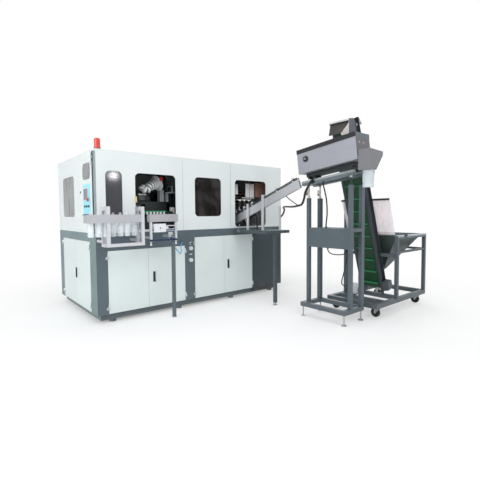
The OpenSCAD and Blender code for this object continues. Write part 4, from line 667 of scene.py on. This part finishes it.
for cord_name, (r, steps, kind, lay, points) in CORDS.items():
    line = curve(points, steps * 2)  # twice as fine as the part's own
    sleeves = Piece(cord_name + "_sleeves", "machine", "cable_black", black)
    for end, inner in ((line[0], line[1]), (line[-1], line[-2])):
        # The sensor cable ends inside the main cable
        if cord_name == "sensor_cable" and end == line[-1]:
            continue
        long = min(3.2 * r, SLEEVE_MOST)
        profile = [(SLEEVE_GAP, r * 1.9)] + [(long * h, r * wide) for h, wide in SLEEVE_STEPS]
        sleeves.turn(profile, end, (inner - end).normalized(), 20)
    sleeves = sleeves.done()
    cord = Piece(cord_name, "machine", "cable_black", cord_mats[kind])
    cord.sweep(line, [r] * len(line), 14)
    cord = cord.done("cables")

# Blower: corrugated duct, flange, drum and cap, on its bracket
duct_mat = brushed("duct_foil", tone("f4f6f7"), 1, 0.3, 0.12, 0.06)
# Painted shade for the bottoms of the duct's ribs
valley_shade_mat = brushed("duct_valley_shade", tone("5d6265"), 1, 0.4, 0.5, 0.1)
flange_mat = paint("flange_white", tone("f0f0ee"), 0.4, 0.04)
drum_mat = paint("drum_black", tone("17181a"), 0.4, 0.1)
cap_mat = plastic("cap_red", tone("b52a22"), 0.3)
block_mat = paint("pick_up_grey", tone("9da3a6"), 0.4, 0.12)
BLOW_TILT, BLOW_TURN = math.radians(68), math.radians(12)
blow = Vector((945, 321, 1681))
blow_way = Vector((math.sin(BLOW_TILT) * math.cos(BLOW_TURN),
                   math.sin(BLOW_TILT) * math.sin(BLOW_TURN), math.cos(BLOW_TILT)))
blower = Piece("blower_unit", "machine", "blower_grey", duct_mat, flange_mat, drum_mat, cap_mat,
               block_mat, valley_shade_mat)
# The duct leaves the flange straight and then droops: distance back, and shift from the axis
DUCT_BENDS = ((14, (0, 0, 0)), (50, (0, 0, 0)), (105, (0, -8, 6)), (165, (-4, -18, -2)),
              (215, (-8, -30, -26)))
duct = curve([blow - blow_way * back + Vector(shift) for back, shift in DUCT_BENDS]
             + [(700, 262, 1606), (676, 258, 1580)], 26)
# It narrows beyond a share of its length; each rib takes some rows, and the rows at the bottom
# of a dip are painted darker, as painted shade in the valleys
DUCT_R, END_R, NARROW_FROM = 66, 36, 0.35
RIB_ROWS, RIB_DEPTH, VALLEY_DIP = 16, 0.06, 1.5
rings, row_mats = [], []
for i in range(len(duct)):
    share = i / (len(duct) - 1)
    size = DUCT_R - (DUCT_R - END_R) * max(0, share - NARROW_FROM) / (1 - NARROW_FROM)
    dip = 1 - math.cos(2 * math.pi * i / RIB_ROWS)
    rings.append(size * (1 - RIB_DEPTH * dip))
    row_mats.append(valley_shade_mat if dip > VALLEY_DIP else duct_mat)
blower.use(duct_mat).sweep(duct, rings, 40, row_mats)
blower.use(flange_mat).turn([(-16, 104), (-14.5, 106), (-3, 106), (-1, 104), (-1, 78)],
                            blow, blow_way, 48)
blower.use(drum_mat).turn([
    (0, 92), (4, 97), (30, 97), (31, 94), (36, 94), (37, 97), (62, 97), (63, 94), (68, 94),
    (69, 97), (86, 97), (92, 90), (92, 40), (128, 40), (132, 36)], blow, blow_way, 48)
blower.use(cap_mat).box((925, 200, 1703), (972, 226, 1757), 6)
blower.use(block_mat).box((970, 300, 1430.2), (1030, 380, 1590), 2)
# Plates and a white block beside the blower
blower.box((1048, 262, 1430.2), (1076, 300, 1545), 2)
blower.box((1040, 196, 1545.2), (1140, 300, 1560), 2)
blower.box((1096, 200, 1560.2), (1112, 216, 1640), 2)
blower.use(flange_mat).box((1076, 176, 1262), (1120, 240, 1352), 2)
# The transfer wheel's column, and the preform pick-up block with its two knobs
blower.use(drum_mat).box((2200, 200, 1045.2), (2460, 460, 1170), 3)
blower.use(block_mat).turn([(1170, 40), (1189.6, 40), (1189.8, 20), (1298, 20), (1300, 18)],
                           (2330, 330, 0), (0, 0, 1), 32)
blower.use(drum_mat).box((2056, 200, 1260), (2130, 420, 1400), 4)
blower.box((2056, 300, 1045.2), (2130, 420, 1260), 2)
for x in (2076, 2110):
    blower.turn([(1400, 13), (1404, 13), (1405, 9), (1408, 12), (1420, 12), (1422, 10)],
                (x, 225, 0), (0, 0, 1), 24)
blower.done("blower")

# Air fittings by the discharge slide
fitting_mat = brushed("fitting_steel", tone("c9cdd0"), 0, 0.25, 0.8)
fittings = Piece("air_fittings", "machine", "rail_steel", fitting_mat, cord_mats["hose_blue"],
                 black)
for x, z, r in ((756, 1008, 11), (756, 1036, 8), (784, 1024, 9)):
    fittings.turn([(0, r), (4, r), (5, r * 0.7), (14, r * 0.7), (15, r), (22, r), (24, r * 0.6),
                   (30, r * 0.6)], (x, -322, z), (0, -1, 0), 20)
fittings.box((742, -322, 992), (800, -316, 1050), 1.5)
fittings.use(black).turn([(0.2, 6), (18, 6), (20, 4)], (790, -322, 1004), (0, -1, 0), 16)
fittings.done()

# Behind the open window: louvred cover with its screws, switch box and white strip
cover = Piece("transfer_cover", "machine", "machine_green", drum_mat, block_mat, flange_mat)
cover.box((566, 286, 1395), (694, 299.6, 1436), 2)
for i in range(7):
    z = 1100 + i * 22
    cover.box((576, 292, z), (684, 299.6, z + 12))
cover.box((651, 300, 1440.3), (812, 400, 1512), 3)
cover.use(block_mat)
for i in range(5):
    cover.box((668, 296.6, 1452 + i * 11), (744, 299.8, 1456 + i * 11), 0.8)
cover.use(flange_mat).box((661, 300, 1512.3), (768, 346, 1530), 1.5)
cover.use(block_mat)
for z in (1290, 1368):
    for x in (592, 630, 668):
        cover.turn([(0, 9), (3, 9), (4, 6), (9, 6)], (x, 299.5, z), (0, -1, 0), 20)
cover.done()

# Green gripper strip with its posts and white clips
strip_mat = plastic("strip_green", tone("2f9a68"), 0.3)
clip_mat = plastic("clip_white", tone("e8ecec"), 0.3)
strip = Piece("gripper_strip", "machine", "start_green", strip_mat, clip_mat)
strip.box((640, 186, 1288), (998, 214, 1306), 1.5)
strip.use(clip_mat)
for x in (652, 970):
    strip.box((x, 206, 1216.3), (x + 12, 218, 1288), 1)
for i in range(7):
    x = 660 + i * 48
    strip.box((x, 178, 1262), (x + 26, 186, 1292), 1.5)
    strip.box((x + 6, 186.2, 1256), (x + 20, 206, 1287.6), 1.5)
strip.done()

# Two rows of valves with their pins, in front of the transfer wheel
valves = Piece("valve_row", "machine", "black_plastic", drum_mat, flange_mat, duct_mat)
for i in range(3):
    x = 2178 + i * 92
    valves.use(drum_mat).box((x, 84, 1366), (x + 56, 128, 1438), 3)
    valves.box((x + 6, 88, 1438), (x + 50, 124, 1452), 2)
    valves.use(flange_mat).box((x + 12, 80, 1452), (x + 44, 122, 1470), 3)
    valves.use(duct_mat).turn([(0, 9), (14, 9), (15, 6), (46, 6), (48, 4)],
                              (x + 28, 106, 1365.8), (0, 0, -1), 20)
    valves.use(drum_mat).box((x + 4, 150, 1200), (x + 52, 186, 1262), 3)
    valves.use(duct_mat).turn([(0, 8), (26, 8), (27, 5), (70, 5), (72, 3)],
                              (x + 28, 168, 1199.8), (0, 0, -1), 20)
valves.use(duct_mat).box((2160, 92, 1470.2), (2450, 118, 1477), 1)
valves.use(drum_mat).box((2160, 128.2, 1386), (2450, 140, 1406), 1)
valves.box((2160, 140.2, 1222), (2450, 149.8, 1242), 1)
for x in (2160, 2438):
    valves.box((x, 128, 1045.3), (x + 12, 140, 1386), 1)
valves.done()

# Pale covers and the brown heater box just behind the right window, each on hangers
heater_mat = paint("heater_brown", tone("a9806f"), 0.45, 0.1)
heater = Piece("heater_covers", "machine", "oven_red", flange_mat, heater_mat, drum_mat)
heater.box((2424, 200, 1520), (2508, 206, 1734), 1.5)
heater.box((2514, 200, 1520), (2604, 206, 1734), 1.5)
heater.box((2345, 196, 1502), (2606, 206, 1514), 1.5)
heater.box((2212, 200, 1560), (2266, 206, 1714), 1.5)
heater.use(heater_mat).box((2644, 200, 1524), (2860, 420, 1754), 4)
heater.use(drum_mat)
for x, y, z in ((2236, 206.2, 1700), (2460, 206.2, 1700), (2560, 206.2, 1500),
                (2680, 300, 1754.2), (2830, 300, 1754.2)):
    heater.box((x, y, z), (x + 14, y + 10, 1977.5), 1)
heater.done()

# Interlock tab by the open window
tab_mat = paint("tab_yellow", tone("dccb93"), 0.35, 0.06)
tab = Piece("interlock_tab", "machine", "guard_white", tab_mat)
tab.box((470, -9, 1406), (500, -0.2, 1478), 2)
tab.done()

# Knob on the trough's boss, placed along the trough's own length and height
knob_mat = brushed("knob_metal", tone("9fa1a3"), 2, 0.3)
knob = Piece("trough_knob", "machine", "black_plastic", black, knob_mat)
KNOB_Y, KNOB_Z = -125, 158
cos_tilt, sin_tilt = math.cos(TROUGH_TILT), math.sin(TROUGH_TILT)
hub = Vector((2040, TROUGH_Y + (KNOB_Y * cos_tilt + KNOB_Z * sin_tilt),
              TROUGH_Z + (KNOB_Z * cos_tilt - KNOB_Y * sin_tilt)))
knob.turn([(0.1, 30), (3, 30), (6, 26), (7, 14)], hub, (-1, 0, 0), 40)
knob.use(knob_mat).turn([(6.8, 12), (9, 12), (9.6, 8)], hub, (-1, 0, 0), 24)
for k in range(3):
    a = math.radians(90 + 120 * k)
    spot = hub + Vector((0, math.cos(a) * 20, math.sin(a) * 20))
    knob.turn([(5.2, 4.5), (8, 4.5), (8.8, 3)], spot, (-1, 0, 0), 16)
knob.done()

# Folded lip round three sides of the hopper's rim, with its latch
lip_mat = brushed("lip_steel", tone("b3bdca"), 0, 0.22, 0.8, 0.06)
lip = Piece("hopper_lip", "machine", "rail_steel", lip_mat, black)
x0, x1, y0, y1 = 3010, 3815, -1965, -1280
lip.box((x0, y0 - 2, 965.2), (x1, y0 + 46, 968), 0.8)
lip.box((x0, y1 - 46, 965.2), (x1, y1 + 2, 968), 0.8)
lip.box((x1 - 46, y0 + 46.2, 965.2), (x1 + 2, y1 - 46.2, 968), 0.8)
lip.box((x0, y0 - 2.6, 948), (x1, y0 - 0.6, 965), 0.6)
lip.use(black).box((3180, y0 - 9, 950), (3248, y0 - 2.8, 984), 2)
lip.box((3192, y0 - 9, 984), (3236, y0 + 14, 990), 2)
lip.done()

# Cream fittings at the tops of the far posts, each with its black plug
cream_mat = paint("fitting_cream", tone("e3dfd0"), 0.38, 0.06)
for tag, x in (("left", 2175), ("right", 2398)):
    bracket = Piece("jack_bracket_" + tag, "machine", "frame_aluminium", cream_mat, black)
    bracket.box((x - 8, -1268, 1470), (x - 1, -1222, 1548), 1.5)
    bracket.box((x - 8, -1271, 1500), (x + 6, -1262, 1560), 1.5)
    bracket.use(black).turn([(0, 8), (8, 8), (9, 6), (20, 6)], (x - 8.1, -1245, 1490),
                            (-1, 0, 0), 20)
    bracket.done()

# ---------------------------------------------------------------- camera

# Solved from the photograph: turn from the y axis, tilt down and roll, and place in millimetres
YAW, PITCH, ROLL = map(math.radians, (39.093, 2.936, -0.508))
EYE = (-1322.7, -4060.7, 1258.3)
look = Vector((math.sin(YAW) * math.cos(PITCH), math.cos(YAW) * math.cos(PITCH), -math.sin(PITCH)))
right = Vector((math.cos(YAW), -math.sin(YAW), 0))
up = right.cross(look)
right, up = (right * math.cos(ROLL) + up * math.sin(ROLL),
             up * math.cos(ROLL) - right * math.sin(ROLL))
cam_data = bpy.data.cameras.new("camera")
cam_data.sensor_width = 36.0
cam_data.lens = 26.63
cam_data.shift_x = 0.01667
cam_data.shift_y = -0.01667
cam = bpy.data.objects.new("camera", cam_data)
cam.matrix_world = Matrix.Translation(at(*EYE)) @ Matrix((right, up, -look)).transposed().to_4x4()
bpy.context.scene.collection.objects.link(cam)
bpy.context.scene.camera = cam

# ---------------------------------------------------------------- floor and light

FLOOR_HALF, FLOOR_DROP = 40, 0.0005
floor_mesh = bpy.data.meshes.new("floor")
bm = bmesh.new()
bmesh.ops.create_grid(bm, x_segments=1, y_segments=1, size=FLOOR_HALF)
bm.to_mesh(floor_mesh)
bm.free()
floor = bpy.data.objects.new("floor", floor_mesh)
floor.location = (0, 0, -FLOOR_DROP)
bpy.context.scene.collection.objects.link(floor)
floor_mat = Nodes("floor_pale")
floor_mat.set(Roughness=0.85, Specular_IOR_Level=0.2, Base_Color=floor_mat.mix(
    floor_mat.ramp(floor_mat.noise(1.2, 4), 0.3, 0.7), (0.90, 0.905, 0.91), (0.93, 0.935, 0.94)))
# To the camera the floor turns into the white background away from the machine: metres from
# the middle and shares of white
FADE_NEAR, FADE_FAR, WHITE_NEAR, WHITE_FAR = 2.0, 4.6, 0.32, 1.0
away = floor_mat.make("VectorMath", ((0, floor_mat.place),))
away.operation = "LENGTH"
fade = floor_mat.ramp(away.outputs["Value"], FADE_NEAR, FADE_FAR, WHITE_NEAR, WHITE_FAR)
to_camera = floor_mat.make("LightPath").outputs["Is Camera Ray"]
share = floor_mat.math("MULTIPLY", fade, to_camera)
mixed = floor_mat.make("MixShader", ((0, share), (1, floor_mat.shader.outputs[0]),
                                     (2, floor_mat.make("Emission").outputs[0])))
floor_mat.feed(floor_mat.out.inputs[0], mixed.outputs[0])
floor.data.materials.append(floor_mat.mat)
floor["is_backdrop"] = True

# The world is white to the camera, to metal and to glass, and soft to everything else
SOFT, FULL = 0.62, 1.0
world = bpy.data.worlds.new("studio")
bpy.context.scene.world = world
world.use_nodes = True
wt = world.node_tree
ground = wt.nodes["Background"]
ground.inputs[0].default_value = (1.0, 1.0, 1.0, 1)
rays = wt.nodes.new("ShaderNodeLightPath").outputs
seen = rays["Is Camera Ray"]
for ray in ("Is Glossy Ray", "Is Transmission Ray"):
    either = wt.nodes.new("ShaderNodeMath")
    either.operation = "MAXIMUM"
    wt.links.new(seen, either.inputs[0])
    wt.links.new(rays[ray], either.inputs[1])
    seen = either.outputs[0]
power = wt.nodes.new("ShaderNodeMapRange")
power.inputs["To Min"].default_value = SOFT
power.inputs["To Max"].default_value = FULL
wt.links.new(seen, power.inputs["Value"])
wt.links.new(power.outputs[0], ground.inputs[1])


def area(name, place, target, size, watts, colour=(1, 1, 1)):
    """A rectangular lamp that looks at its target, in metres."""
    d = bpy.data.lights.new(name, "AREA")
    d.shape = "RECTANGLE"
    d.size, d.size_y = size
    d.energy = watts
    d.color = colour
    o = bpy.data.objects.new(name, d)
    o.location = place
    o.rotation_euler = (Vector(target) - Vector(place)).to_track_quat("-Z", "Y").to_euler()
    bpy.context.scene.collection.objects.link(o)


area("key", (-1.5, -7.5, 6.5), (0, 0, 1.0), (6, 4), 215)
area("fill_left", (-7.5, -2.0, 3.5), (0, 0.3, 1.0), (5, 3.5), 190, (0.96, 0.99, 1.0))
area("top", (0, 0, 8.0), (0, 0, 0), (9, 7), 190)
area("rim_right", (6.5, 4.0, 4.0), (0.5, -0.5, 1.0), (4, 3), 80)
# The bright spot in the first window is this small lamp's reflection
area("hall_lamp", at(2500, -6000, 2385), at(225, 0, 1720), (0.20, 0.15), 6)

bpy.context.scene.view_settings.view_transform = "Standard"

# ---------------------------------------------------------------- close

size = {"cad": [list(cad_box[0]), list(cad_box[1])]}
lo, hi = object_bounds()
size["visual"] = [list(lo), list(hi)]
